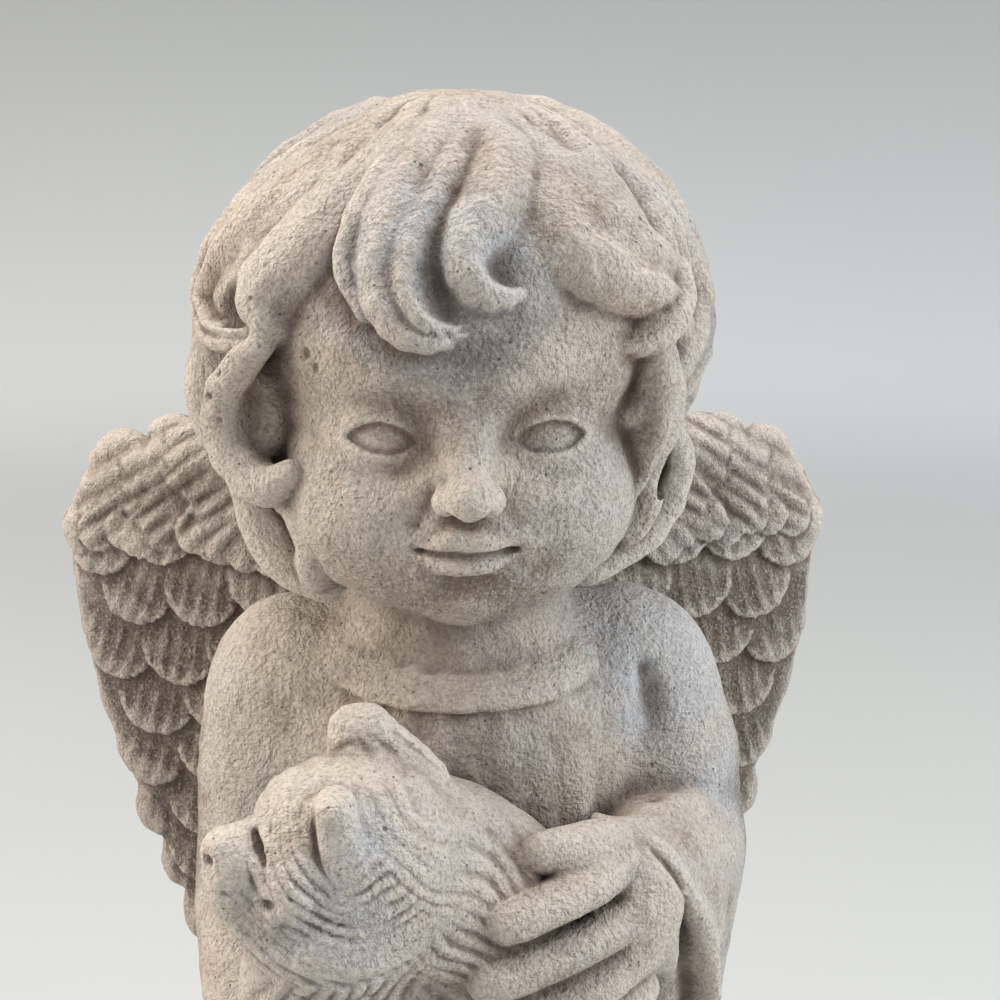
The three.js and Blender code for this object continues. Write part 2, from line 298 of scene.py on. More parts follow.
# ---- Shoulders, arms and collar ----
LEFT_ARM = [(34, 3, 235, 17, 16), (42, 1, 220, 17, 17), (44.5, -2, 204, 15.5, 15.5), (44, -8, 192, 15, 15)]
RIGHT_ARM = [
    (-33, 3, 235, 16, 16), (-39, 1, 220, 15.5, 16), (-40.5, -4, 203, 14.5, 15), (-40, -12, 187, 15, 15),
    (-35, -26, 172, 15, 15), (-24, -40, 163, 12, 12),
]


def body(block):
    """The shoulders, the chest and both upper arms in their sleeves."""
    ball(block, (33, 2, 233), (20.5, 17, 18), blend=7)
    ball(block, (-31, 2, 233), (20.5, 17, 18), blend=7)
    ball(block, (0, -4, 222), (33, 27, 26), blend=6)
    sweep(block, LEFT_ARM, blend=6)
    sweep(block, RIGHT_ARM, blend=6)


def neckband(block):
    """The neck, and a flat band round it that dips at the front."""
    sweep(block, [(0, 3, 268, 21, 21), (0, 1, 255, 21, 21), (0, 0, 238, 23, 23)], blend=3)
    stops = []
    for turn in np.radians(np.arange(0, 361, 20)):
        dip = 0.5 + 0.5 * math.cos(turn)
        y = 2 - (29.6 - 1.5 * (1 - dip)) * math.cos(turn)
        stops.append((29.2 * math.sin(turn), y, 255 - 14.5 * dip**0.8, 4.2, 2.0))

    def outwards(points):
        return unit(points - np.array([0, -5, 217]))

    sweep(block, stops, facing=outwards, blend=0.5)


def chest_folds(block):
    """Shallow gathers that hang from the neckband."""
    for turn, reach in ((-36, 20), (-22, 24), (-9, 27), (3, 30), (14, 27), (25, 30), (37, 24)):
        a = math.radians(turn)
        start = (27 * math.sin(a), 2 - 27.5 * math.cos(a), 240 + 4 * abs(math.sin(a)))
        end = (36 * math.sin(a), 1 - 34.5 * math.cos(a), 240 - reach)
        middle = [0.5 * (s + e) for s, e in zip(start, end)]
        middle[1] -= 1.2
        sweep(block, [(*start, 2.2, 2.2), (*middle, 2.6, 2.2), (*end, 2.4, 1.6)], blend=3)


# ---- Head ----
def pair(block, centre, radii, turn=(0, 0, 0), **how):
    """A ball on each side."""
    ball(block, centre, radii, turn, **how)
    ball(block, (-centre[0], *centre[1:]), radii, (turn[0], -turn[1], -turn[2]), **how)


def both(block, stops, **how):
    """A sweep on each side."""
    sweep(block, stops, **how)
    sweep(block, mirrored(stops), **how)


# A young child's face on the usual canon: the brow at half the head's height, and from there to the chin
# four equal parts, with the eyes in the first, the nose's end at the second and the mouth in the third.
BROW, CHIN = 302.0, 257.0
PART = (BROW - CHIN) / 4
EYE = (14.5, -30.8, BROW - 0.95 * PART)
NOSE_END = BROW - 2 * PART
MOUTH = BROW - 2.66 * PART


def face(block):
    """The skull, full cheeks, jaw and chin, with the eyes, nose and mouth on them."""
    ball(block, (0, -8, 306), (35, 35, 34), blend=4)
    pair(block, (19, -19.5, 309), (15.5, 18, 17), blend=5)
    ball(block, (0, -10, 287), (34, 33, 31), blend=6)
    pair(block, (15.5, -23, CHIN + 20), (16.5, 17, 15), blend=7)
    ball(block, (0, -20, CHIN + 10.5), (23, 19, 11.5), blend=7)
    ball(block, (0, -33, CHIN + 6.5), (8.5, 8.5, 7), blend=6)
    ball(block, (0, -30, MOUTH + 0.5), (14, 13, 10), blend=6)
    eyes(block)
    nose(block)
    mouth(block)


def eyes(block):
    """Soft brow ridges, and the sockets with the eyes in them."""
    x, y, z = EYE
    brow = [
        (7, -41.4, BROW + 0.5, 2.5, 1.0), (15, -39.4, BROW + 2.2, 3, 1.2),
        (24, -32.5, BROW - 0.5, 2.5, 0.8),
    ]
    both(block, brow, blend=6)
    pair(block, (x, y - 14.6, z + 0.6), (10.6, 8.4, 7.2), blend=5, carve=True)
    for side in (-1, 1):
        lids(block, side)


def lids(block, side):
    """A ball round the eye, opened where two circles overlap like an almond, and the blank eye in it."""
    x, y, z = EYE[0] * side, EYE[1], EYE[2]
    low, high = (x - 12, y - 12, z - 12), (x + 12, y + 12, z + 12)
    part = block.piece(low, high)
    ball(part, (x, y, z), (9.9, 9.9, 9.3), blend=0)
    cut = part.slices(low, high)
    gx, gy, gz = part.grid(cut)
    across = (gx - x) * side
    up = gz - z - 0.08 * across
    half, above, below = 6.7, 3.3, 2.6
    upper, lower = [(half**2 + rise**2) / (2 * rise) for rise in (above, below)]
    almond = np.maximum(
        np.hypot(across, up + upper - above) - upper,
        np.hypot(across, up - lower + below) - lower,
    )
    part.merge(cut, np.maximum(almond, gy - y).astype(np.float32), 0.5, carve=True)
    ball(part, (x, y, z), (8.5, 8.5, 8.5), blend=0.3)
    block.join(part, 1.8)


def nose(block):
    """A short rounded nose with its wings and nostrils, the creases beside it and the groove under it."""
    z = NOSE_END
    bridge = [
        (0, -40, BROW - 1, 3.2, 2.6), (0, -41.6, z + 13, 3.0, 2.8), (0, -45, z + 7, 3.4, 3.3),
        (0, -47.8, z + 3.4, 3.8, 3.6),
    ]
    sweep(block, bridge, blend=4)
    ball(block, (0, -47.6, z + 3.0), (3.9, 3.8, 3.7), blend=2)
    pair(block, (3.9, -44.4, z + 2.1), (2.3, 3.2, 2.5), blend=1.8)
    pair(block, (2.5, -47.6, z - 0.2), (1.4, 2.4, 1.5), (25, 0, 0), blend=0.7, carve=True)
    crease = [(6.6, -43.0, z + 3, 0.6, 0.5), (7.4, -42.4, z + 0.5, 0.7, 0.5), (9.3, -42, z - 2.5, 0.6, 0.4)]
    both(block, crease, blend=2.4, carve=True)
    sweep(block, [(0, -46.6, z - 2.2, 1.2, 0.9), (0, -46.2, MOUTH + 3.6, 1.2, 0.8)], blend=2, carve=True)


def mouth(block):
    """Closed lips, each from its middle outwards and mirrored, and the hollow under the lower one."""
    z = MOUTH
    top = [
        (0, -44.0, z + 2.0, 2.1, 2.2), (2.2, -44.1, z + 2.4, 2.2, 2.2), (5, -42.6, z + 1.4, 1.8, 1.9),
        (8.2, -39.8, z + 0.2, 1.1, 1.2),
    ]
    bottom = [
        (0, -43.4, z - 3.0, 2.7, 2.6), (3, -42.9, z - 2.6, 2.5, 2.5), (5.6, -41.3, z - 1.6, 1.8, 1.8),
        (7.8, -39.6, z - 0.4, 1.1, 1.1),
    ]
    line = [
        (0, -46, z - 0.6, 0.6, 1.7), (2.5, -45.8, z - 0.1, 0.6, 1.7), (5.2, -44.2, z - 0.2, 0.55, 1.5),
        (8.4, -41.2, z + 0.2, 0.5, 1.0),
    ]
    for stops in (top, bottom):
        sweep(block, mirrored(stops[:0:-1]) + stops, blend=1.2)
    sweep(block, mirrored(line[:0:-1]) + line, blend=0.7, carve=True)
    ball(block, (0, -44.2, z - 6.4), (5.5, 2.4, 1.6), blend=3, carve=True)


# ---- Hair ----
def on_hair(turn, rise, lift=0.0):
    """A place on the hair's round form: degrees round from the front, degrees up, and height over it."""
    a, e = math.radians(turn), math.radians(rise)
    way = np.array([math.sin(a) * math.cos(e), -math.cos(a) * math.cos(e), math.sin(e)])
    return HAIR_CENTRE + way * (HAIR_RADII + lift)


def from_hair(points):
    """Straight out from the hair's round form."""
    return unit((points - HAIR_CENTRE) / HAIR_RADII**2)


HAIRLINE = [  # degrees round from the front, and degrees up to the hair's lower edge
    (-180, -52), (-140, -48), (-110, -25), (-95, -6), (-83, 8), (-62, 3), (-46, 3), (-41, 5), (-36, 12),
    (-31, 21), (-27, 29), (-22, 24), (-10, 20), (2, 20), (8, 23), (13, 25), (17, 21), (21, 15), (30, 10),
    (44, 7), (52, -1), (60, -10), (75, -18), (95, -32), (120, -44), (150, -50), (180, -52),
]


def cap(block):
    """The mass of the hair: an ellipsoid cut off at the hairline, with uneven strands down from the crown.

    The strands are |sin| of the turn, drawn to the side as they come down, with wandering noise.
    """
    reach = HAIR_RADII + 3
    cut = block.slices(HAIR_CENTRE - reach, HAIR_CENTRE + reach)
    x, y, z = [a - c for a, c in zip(block.grid(cut), HAIR_CENTRE)]
    value = oval_distance((x, y, z), HAIR_RADII - (1.4, 1.4, 1.0))
    turn = np.degrees(np.arctan2(x, -y))
    rise = np.degrees(np.arctan2(z, np.hypot(x, y)))
    drawn = turn + 0.45 * (55 - rise) * np.clip((-12 - turn) / 20, 0, 1) * np.clip((150 + turn) / 60, 0, 1)
    strand = drawn / 17 + 0.55 * noise(drawn, rise, 0 * drawn, 24)
    fine = drawn / 7.5 + 0.7 * noise(drawn, rise, 0 * drawn + 80, 16)
    swell = 0.6 + 0.5 * noise(drawn, rise, 0 * drawn + 160, 20)
    broad_relief = 2.2 * swell * np.abs(np.sin(math.pi * strand)) ** 0.7
    fine_relief = 0.8 * swell * np.abs(np.sin(math.pi * fine)) ** 0.8
    value = value + (1.5 - (broad_relief + fine_relief)) * np.clip((80 - rise) / 34, 0, 1)
    line = np.interp(turn, *zip(*HAIRLINE))
    below = (line - rise) * math.radians(1) * 50
    value = -smooth_min(-value, -below, 5)
    block.merge(cut, value.astype(np.float32), 1.5)


def lock(block, stops, strands=3, depth=1.3, blend=0.9, drift=0.0):
    """A lock laid on the hair: stops of turn, rise, lift, half width, half height."""
    laid = [(*on_hair(turn, rise, lift), wide, high) for turn, rise, lift, wide, high in stops]
    sweep(block, laid, facing=from_hair, blend=blend, strands=strands, depth=depth, drift=drift)


# Strands across, then stops of turn, rise, lift, half width and height. Later locks lie on earlier ones.
FRONT_LOCKS = [
    # Left side (-X), from behind to the front: each broad lock rolls under at its end.
    (2, [(-84, 40, -6, 7, 6), (-93, 22, -5.5, 8, 6.5), (-94, 8, -5.5, 7, 6), (-86, -3, -6, 5, 5)]),
    (2, [
        (-58, 44, -6.5, 8, 6), (-67, 30, -5.8, 9.5, 7), (-76, 18, -5, 8, 7), (-78, 9, -4.2, 5.5, 6),
        (-70, 2.5, -4.2, 4.4, 5.4), (-59, 1, -4.5, 3.6, 5), (-50, 1, -5.4, 2.6, 4),
    ]),
    (1, [
        (-40, 26, -7, 8, 6.4), (-45, 18, -5.8, 8, 6.6), (-48.5, 11.5, -4.6, 6.6, 6.4),
        (-46.5, 6.5, -4.6, 4.8, 5.4),
    ]),
    # Right side (+X).
    (2, [
        (66, 50, -6.5, 7, 6), (74, 34, -6, 9, 7), (77, 20, -5.4, 9, 7), (74, 7, -5, 8, 6.8),
        (65, -4, -5.2, 7, 6.4), (54, -12, -5.5, 6, 5.6), (46, -19, -6, 4, 4.5),
    ]),
    (2, [
        (26, 48, -6.5, 9, 6.0), (28, 38, -5.6, 12, 6.6), (31, 28, -4.6, 13, 6.8), (37, 20.5, -4, 10.5, 6.6),
        (45, 16, -3.6, 8, 6.4), (51, 13, -4, 5, 5.4),
    ]),
    (1, [(55, 46, -6, 5, 5.2), (60, 34, -5.4, 6, 5.6), (62.5, 24, -5, 5.6, 5.6), (62, 15, -5.4, 4, 5)]),
    (1, [
        (54, 18, -5, 4, 5), (53.6, 13, -3.6, 5, 5.8), (51, 8, -3, 5, 5.8), (46.5, 4, -3, 4.4, 5),
        (42, 0.8, -3.6, 3.4, 4), (38.6, 0, -4.4, 2.2, 2.8),
    ]),
    # Fringe.
    (0, [
        (-18, 52, -4.4, 2.2, 4), (-22, 40, -3.6, 2.6, 4), (-25, 29, -3.4, 2.6, 4), (-26, 18, -3.6, 2.4, 4),
        (-22, 9, -4.4, 1.8, 3.2),
    ]),
    (2, [
        (-4, 60, -5.8, 7, 5.5), (-7, 50, -5.2, 9.4, 6), (-10, 38, -4.6, 10, 6.2), (-13, 27, -3.8, 8.8, 6.4),
        (-15, 17.5, -3.2, 7.6, 6.2), (-13.5, 10.5, -2.9, 6.4, 6), (-10.4, 6, -2.6, 5, 5.2),
        (-6.6, 4.2, -2.9, 3.6, 4.4), (-2.6, 4.6, -3.8, 2, 3),
    ]),
    (1, [
        (10, 60, -5.4, 5.5, 5), (13, 50, -4.8, 7, 5.6), (11, 40, -3.9, 7.6, 6.2),
        (5.5, 30.5, -3.2, 7.2, 6.4), (0.5, 23, -2.8, 5.8, 6.2), (0, 17.6, -2.7, 4.8, 5.8),
        (2.2, 13.8, -3, 4.2, 5), (6, 12.2, -3.6, 3.2, 4.2), (9.5, 12.6, -4.6, 2, 3),
    ]),
]
# Locks beside the face: strands across, then stops of x, y, z, half width and half height.
SIDE_LOCKS = [
    # Left of the face (-X): a rounded lock behind, the open ear-like curl, and the leaf-like one under it.
    (3, [(-43, -10, 307, 6, 5), (-46.5, -5, 300, 7, 6.5), (-46, -3, 291, 7, 6.5), (-42, -3, 282, 5.5, 5)]),
    (0, [
        (-36.0, -31, 307, 2.6, 3.0), (-40, -28, 302.5, 3.1, 3.4), (-43, -25, 296, 3.6, 4),
        (-43, -24, 289.5, 4, 4), (-40, -25, 284, 4, 4), (-35, -28.5, 281.5, 3.4, 3.6),
        (-32, -30.5, 284, 2.4, 2.6),
    ]),
    (1, [
        (-41, -18, 284, 3.6, 4), (-38.5, -18, 277.5, 4.6, 5), (-36.5, -19, 271, 5, 5),
        (-32, -21, 264.5, 4.6, 4.6), (-26, -23, 261, 3.2, 3.2),
    ]),
    (0, [
        (-34.5, -23.5, 281.5, 2.6, 3), (-30, -26, 276, 3.2, 3.6), (-28, -26.5, 270, 3.4, 3.6),
        (-27.5, -25, 264, 3, 3),
    ]),
    # Right of the face (+X): the rough lock by the temple, and the open curl behind the cheek.
    (2, [(34.5, -28, 306, 3.6, 4), (36, -27, 298, 5, 5), (34.5, -25, 289, 5, 5), (32.5, -23, 281, 4, 4)]),
    (0, [
        (34, -25, 292.5, 2.8, 3), (38, -21.5, 290, 3.2, 3.6), (41, -17, 284, 3.6, 4),
        (40.5, -15, 276.5, 3.8, 4), (36.5, -16, 270, 3.8, 4), (30.5, -18.5, 265.5, 3.6, 3.6),
        (24.5, -21, 262, 2.4, 2.4),
    ]),
    (1, [
        (32, -23.5, 289, 2.8, 3), (35, -21.5, 284, 3.4, 4), (35, -20.5, 277, 3.4, 4),
        (31.5, -21, 270.5, 3.2, 3.6),
    ]),
]
# Holes left by air in the casting, by the left temple, in the left curl and behind the right lock.
PITS = [
    (-28, -34.5, 306, 1.0), (-26.2, -35.6, 303.6, 0.8), (-29.6, -33, 302.5, 0.9),
    (-27.4, -34.6, 300.8, 0.7), (-30.5, -33.4, 308, 0.7), (-43.5, -29, 302, 1.1), (-45, -27.4, 298, 0.9),
    (-43.8, -28.6, 293.5, 1.0), (-40.6, -30, 304.5, 0.8), (-46, -25.6, 294.6, 0.7), (-46.2, -27, 322, 0.9),
    (49.5, -17, 311, 2.2), (50.5, -14, 307.5, 1.8), (48.5, -19, 306, 1.5), (51, -12, 312, 1.3),
]


def hair(block):
    """The mass of the hair, its locks and curls, and the pits and openings in them."""
    ball(block, HAIR_CENTRE + (0, 3, 0), HAIR_RADII - (6, 7, 5), blend=2)
    ball(block, on_hair(12, 22, -8), (9, 6, 8), blend=5)
    ball(block, on_hair(-1, 11, -8), (7, 6, 7), blend=4)
    cap(block)
    ball(block, (0, 14, 284), (40, 30, 28), blend=5)
    pair(block, (34, -1, 285), (11, 19, 21), blend=4)
    back_hair(block)
    for number, (strands, stops) in enumerate(FRONT_LOCKS):
        lock(block, stops, strands=strands, depth=1.5, blend=1.0, drift=number)

    def outwards(points):
        return unit(points - np.array([0, 5, 285]))

    for number, (strands, stops) in enumerate(SIDE_LOCKS):
        sweep(block, stops, facing=outwards, blend=1.4, strands=strands, depth=1.3, drift=number)
    # Pits inside the curls, with the rounded stone that shows through the left one.
    ball(block, on_hair(-59, 8, -2.5), (4.2, 3, 4.6), (0, 0, -59), blend=1.2, carve=True)
    ball(block, (-37.5, -20.5, 294.5), (6.5, 5.5, 10.5), blend=2)
    ball(block, (-37.4, -27.5, 294), (2.8, 3.4, 5.6), blend=2, carve=True)
    for x, y, z, size in PITS:
        ball(block, (x, y, z), (size, size, size), blend=0.5, carve=True)
    ball(block, (-32.4, -27.5, 272), (0.9, 3, 4.6), (0, -16, 0), blend=1.0, carve=True)
    ball(block, (38.0, -21, 281), (1.1, 4.5, 4.8), (0, 10, 0), blend=0.8, carve=True)


# Degrees up where each row of locks starts and ends, its half width, and how far round it is shifted.
BACK_ROWS = [(70, -8, 8.5, 0), (30, -52, 8.0, 12)]


def back_hair(block):
    """Wavy locks round the sides and back, each ending in a small curl."""
    for row, (start, end, wide, offset) in enumerate(BACK_ROWS):
        for number in range(9):
            turn = 84 + offset + 21.5 * number
            if turn > 276:
                continue
            sway = 7 * math.sin(2.4 * number + row)
            stops = []
            for share in np.linspace(0, 1, 7):
                rise = start + (end - start) * share
                curl = 65 * max(0, share - 0.8)
                swing = turn + sway * math.sin(2.6 * share) + curl
                wide_here = wide * (0.45 + 0.75 * math.sin(math.pi * min(1, 0.18 + 0.8 * share)))
                stops.append((swing, rise, -4.5 + 1.0 * share, wide_here, 5.5 - 1.2 * abs(share - 0.5)))
            lock(block, stops, strands=3, depth=1.1, drift=number + row)


# ---- Hand and sleeve ----
def hands(block):
    """The left hand out of its sleeve: its back, four straight blunt fingers and the thumb."""
    ball(block, (30, -47.5, 206), (8, 7.5, 14), (0, 18, 26), blend=2)
    sweep(block, [(40, -35, 198, 11, 9), (33, -43.5, 203, 12, 6.5)], facing=(0.6, -1, 0), blend=4)
    fingers = [  # from the forefinger down, each from its knuckle to its end
        (
            (27, -49, 216, 3.9, 4), (21, -54.2, 214.8, 4.2, 4.6), (14, -58.3, 213.4, 3.9, 4.2),
            (7, -60.4, 211.8, 4, 4), (5.2, -60.8, 211.4, 3.8, 3.6),
        ),
        (
            (29, -50, 207.5, 3.9, 4), (22, -56.2, 206, 4.2, 4.6), (13, -60.2, 203.8, 3.9, 4.2),
            (4, -62, 201.6, 4, 4), (2.2, -62.2, 201.2, 3.8, 3.6),
        ),
        (
            (30, -50.5, 199.5, 3.8, 4), (24, -56.1, 198, 4.1, 4.5), (15, -60, 195.8, 3.8, 4.1),
            (7, -61.8, 193.4, 3.9, 3.9), (5.2, -62, 193, 3.7, 3.5),
        ),
        (
            (30, -50, 191.5, 3.5, 4), (25, -54.5, 190, 3.8, 4.2), (18, -58, 187.8, 3.5, 3.8),
            (11, -60, 185.4, 3.6, 3.6), (9.4, -60.2, 184.8, 3.4, 3.2),
        ),
    ]
    for finger in fingers:
        sweep(block, finger, facing=(0, -1, 0), blend=0.9)
    ball(block, (29.5, -51.4, 205), (5.5, 4.6, 11), (0, 14, 30), blend=2)
    thumb = [
        (25, -47, 219, 4.4, 4), (19.5, -51.6, 220.8, 4.2, 4), (14, -54, 221.2, 3.8, 3.6),
        (12.4, -54.4, 221.2, 3.6, 3.2),
    ]
    sweep(block, thumb, blend=2.2)
    # Only the fingertips of the right hand come round under the dog.
    for number in range(3):
        x, z = -20 + 7.5 * number, 160 + 1.5 * number
        tip = [(x - 8, -50, z - 3, 4, 4), (x - 2, -59, z - 1, 4, 4), (x + 4, -62, z + 3, 3.6, 3.4)]
        sweep(block, tip, blend=0.8)


ELBOW = (45, -4, 196)
CUFF = [  # the sleeve's mouth, round from above the thumb
    (24, -40, 220), (31, -45, 218), (37.5, -45.5, 210.5), (42.5, -43, 202), (45.5, -39.5, 191),
    (47, -36, 180), (46.5, -33.5, 168), (43, -32.5, 157), (37, -33, 151), (31, -35, 152), (28, -38, 160),
]


def sleeves(block):
    """The wide left sleeve: the forearm's cloth, and a bell of runs from the elbow to its mouth."""
    forearm = [(47, -4, 199, 13, 11), (44, -16, 203, 13, 10), (37, -27, 208, 10, 9)]
    sweep(block, forearm, facing=(0.3, 0, 1), blend=5)
    for x, y, z in CUFF[1:]:
        middle = [0.45 * e + 0.55 * c for e, c in zip(ELBOW, (x, y, z))]
        sweep(block, [(*ELBOW, 11, 11), (*middle, 7.5, 7.5), (x - 1, y + 2.5, z, 3.2, 3.2)], blend=5)
    ball(block, (38, -26, 182), (8, 13, 24), (10, 0, 0), blend=6)


def cuff(block):
    """The rim of the sleeve's mouth, the hollow in it, the elbow's roll and folds, and the armpit."""
    inside = [(x - 3.8, y - 2.6, z + 0.5, 1.7, 2.8) for x, y, z in CUFF[3:9]]
    sweep(block, inside, facing=(0.5, -1, 0.3), blend=2.5, carve=True)
    seam = [
        (30, -48, 221, 0.6, 1.6), (34.5, -50.5, 217, 0.8, 2), (37.6, -49.5, 212, 0.9, 2.2),
        (39.6, -47.6, 207, 0.9, 2.2), (39, -45.6, 203, 0.9, 2),
    ]
    sweep(block, seam, facing=(0.5, -1, 0.3), blend=0.8, carve=True)
    rim = [(x, y, z, *size) for (x, y, z), size in zip(CUFF, [(1.2, 1.6)] + [(1.9, 2.6)] * 9 + [(1.6, 2)])]
    sweep(block, rim, facing=(0.5, -1, 0.3), blend=2.2)
    roll = [
        (35, -31, 217, 1.2, 1), (41, -26.5, 215, 2.8, 2.4), (49, -15, 209.5, 3.6, 3.2),
        (55, -2, 205, 3.6, 3), (55, 8, 202, 2.6, 2.6),
    ]
    sweep(block, roll, facing=(0.5, -1, 0.6), blend=3)
    for turn in range(3):
        fold = [
            (46 + 2 * turn, -20 + 5 * turn, 203 - 9 * turn, 1.4, 2),
            (50 + turn, -14 + 4 * turn, 190 - 9 * turn, 1.6, 2.4),
            (46, -28 + 3 * turn, 172 - 5 * turn, 1.2, 1.6),
        ]
        sweep(block, fold, facing=(1, -0.4, 0), blend=3)
    armpit = [
        (37, -14, 240, 1.6, 2), (38.5, -18, 232, 3.2, 4), (38, -22, 224, 3.2, 4), (36, -27, 219.5, 2, 2.4),
    ]
    sweep(block, armpit, facing=(0.3, -1, 0.3), blend=3, carve=True)


# ---- Dog ----
EAR = (-19, 234)  # the middle of the dog's ear, x and z: the fur on its cheek runs round it
DOG_BOX = ((-54, -84, 140), (46, -10, 256))


def dog(block):
    """The small dog: head, body, ears and paws, worked apart so that its fur stays on it."""
    part = block.piece(*DOG_BOX)
    ball(part, (-19.5, -57, 221.5), (17.5, 16, 19), blend=2)
    ball(part, (-24, -60, 212.5), (14.5, 14, 11), blend=5)
    ball(part, (-26.5, -58.5, 228.5), (11, 12, 10.5), blend=3)
    ball(part, (-29.5, -65, 222.5), (8, 9, 10), blend=1.5)
    # Muzzle, blunt in front, and the chin that runs down from it to the throat.
    muzzle = [(-30, -63, 227, 7, 7), (-36, -65, 227.6, 5.8, 6), (-39.6, -65.6, 228, 4.4, 5.4)]
    sweep(part, muzzle, blend=1.5)
    ball(part, (-39.8, -65.8, 224), (4.8, 5.4, 4.4), blend=2)
    ball(part, (-41.0, -66.4, 229.6), (3.4, 4.2, 3.2), blend=1.5)
    chin = [(-26, -62, 211, 9, 7), (-33, -64.6, 214.5, 6.5, 6), (-38.4, -65.6, 219.6, 4.6, 4.6)]
    sweep(part, chin, blend=3)
    # Neck and body.
    ball(part, (-8, -46, 210), (22, 17, 19), (0, 18, 0), blend=8)
    trunk = [(-8, -44, 211, 19, 16), (6, -45, 200, 20, 17), (12, -43, 184, 20, 18), (8, -40, 166, 18, 16)]
    sweep(part, trunk, blend=6)
    ball(part, (-26, -52, 198), (15, 15, 16), blend=6)
    # Back ear, with a blunt uneven top.
    back_ear = [(-13, -49, 231, 9.5, 5), (-16.6, -50, 238, 7, 4.6), (-18.8, -50.5, 242.6, 5, 3.6)]
    sweep(part, back_ear, blend=3)
    ball(part, (-21.2, -50.6, 243), (2.6, 3.4, 3.6), blend=3)
    ball(part, (-17.2, -51, 244), (2.6, 3, 2.6), blend=3)
    fur(part)
    # Front ear folded down, eye, mouth and nostril.
    flap = [
        (-22.6, -68.6, 237.4, 3.0, 2.8), (-22.6, -69.6, 234.6, 3.6, 2.8), (-21.8, -70.4, 231, 3.4, 2.2),
        (-19.6, -71, 227, 2.6, 1.0),
    ]
    sweep(part, flap, facing=(-0.15, -1, 0.2), blend=2)
    ball(part, (-23, -70.4, 237.2), (2.9, 3.0, 2.6), blend=1)
    edge = [
        (-26.2, -70.4, 238.6, 0.7, 2.2), (-26.2, -71.6, 234.5, 1.0, 3.4), (-25.6, -73.0, 229.6, 1.0, 3.0),
        (-24.0, -74.2, 226.6, 0.5, 1.4),
    ]
    sweep(part, edge, blend=0.8, carve=True)
    eye = [(-35.7, -67.4, 232.4, 0.8, 2.0), (-35, -69.2, 230.8, 1.2, 2.4), (-34.3, -70.8, 229.2, 0.8, 1.8)]
    sweep(part, eye, blend=0.6, carve=True)
    ball(part, (-33.6, -73, 222.2), (1.1, 2.2, 1.0), blend=1.0, carve=True)
    ball(part, (-31.6, -74, 218.5), (1.2, 1.8, 0.9), blend=0.8, carve=True)
    lips = [(-33, -73, 222.6, 0.5, 0.8), (-37, -72.4, 222.8, 0.4, 0.8), (-41, -70.8, 223.6, 0.3, 0.6)]
    sweep(part, lips, blend=1.2, carve=True)
    ball(part, (-42.8, -69.6, 229.0), (0.8, 1.4, 1.0), blend=0.8, carve=True)
    # Front legs and paws.
    for x in (-27, -12):
        sweep(part, [(x, -54, 196, 8, 8), (x, -62, 183, 7, 7), (x + 1, -65, 171, 6.5, 6)], blend=3)
        ball(part, (x + 1, -67.5, 168), (6, 6, 4.5), blend=2)
        for toe in (-1, 0, 1):
            ball(part, (x + 1 + 3.6 * toe, -72, 167), (2, 2.6, 2.8), blend=0.9)
    block.join(part, 1.2)


def tufts(across, along, seed, wide, long):
    """Tufts laid side by side, from 0 to 1: |sin| across them, rising along each to its tip.

    Noise bends them, and the place across picks where along it each tuft begins.
    """
    row = across / wide + 0.7 * noise(0.6 * across, 0.6 * along, 0 * along + seed * 37.7, 7)
    start = LATTICE[np.floor(row).astype(np.int64) & 31, seed, 7]
    share = along / long + 3 * start
    share = share - np.floor(share)
    return np.abs(np.sin(math.pi * row)) * (0.45 + 0.55 * share) * np.clip((1 - share) * 6, 0, 1)


def strands(across, along, seed, wide):
    """Strands laid side by side: |sin| across them less its mean. Noise bends them and splits some."""
    row = across / wide + 0.9 * noise(0.6 * across, 0.5 * along, 0 * along + seed * 37.7, 5)
    strong = np.clip(0.85 + 0.9 * noise(across, 0.5 * along, 0 * along + seed * 91.3, 4), 0.15, 1.2)
    split = np.abs(np.sin(2 * math.pi * row + 0.8)) - 0.64
    return strong * (np.abs(np.sin(math.pi * row)) - 0.64) + 0.4 * (1.2 - strong) * split


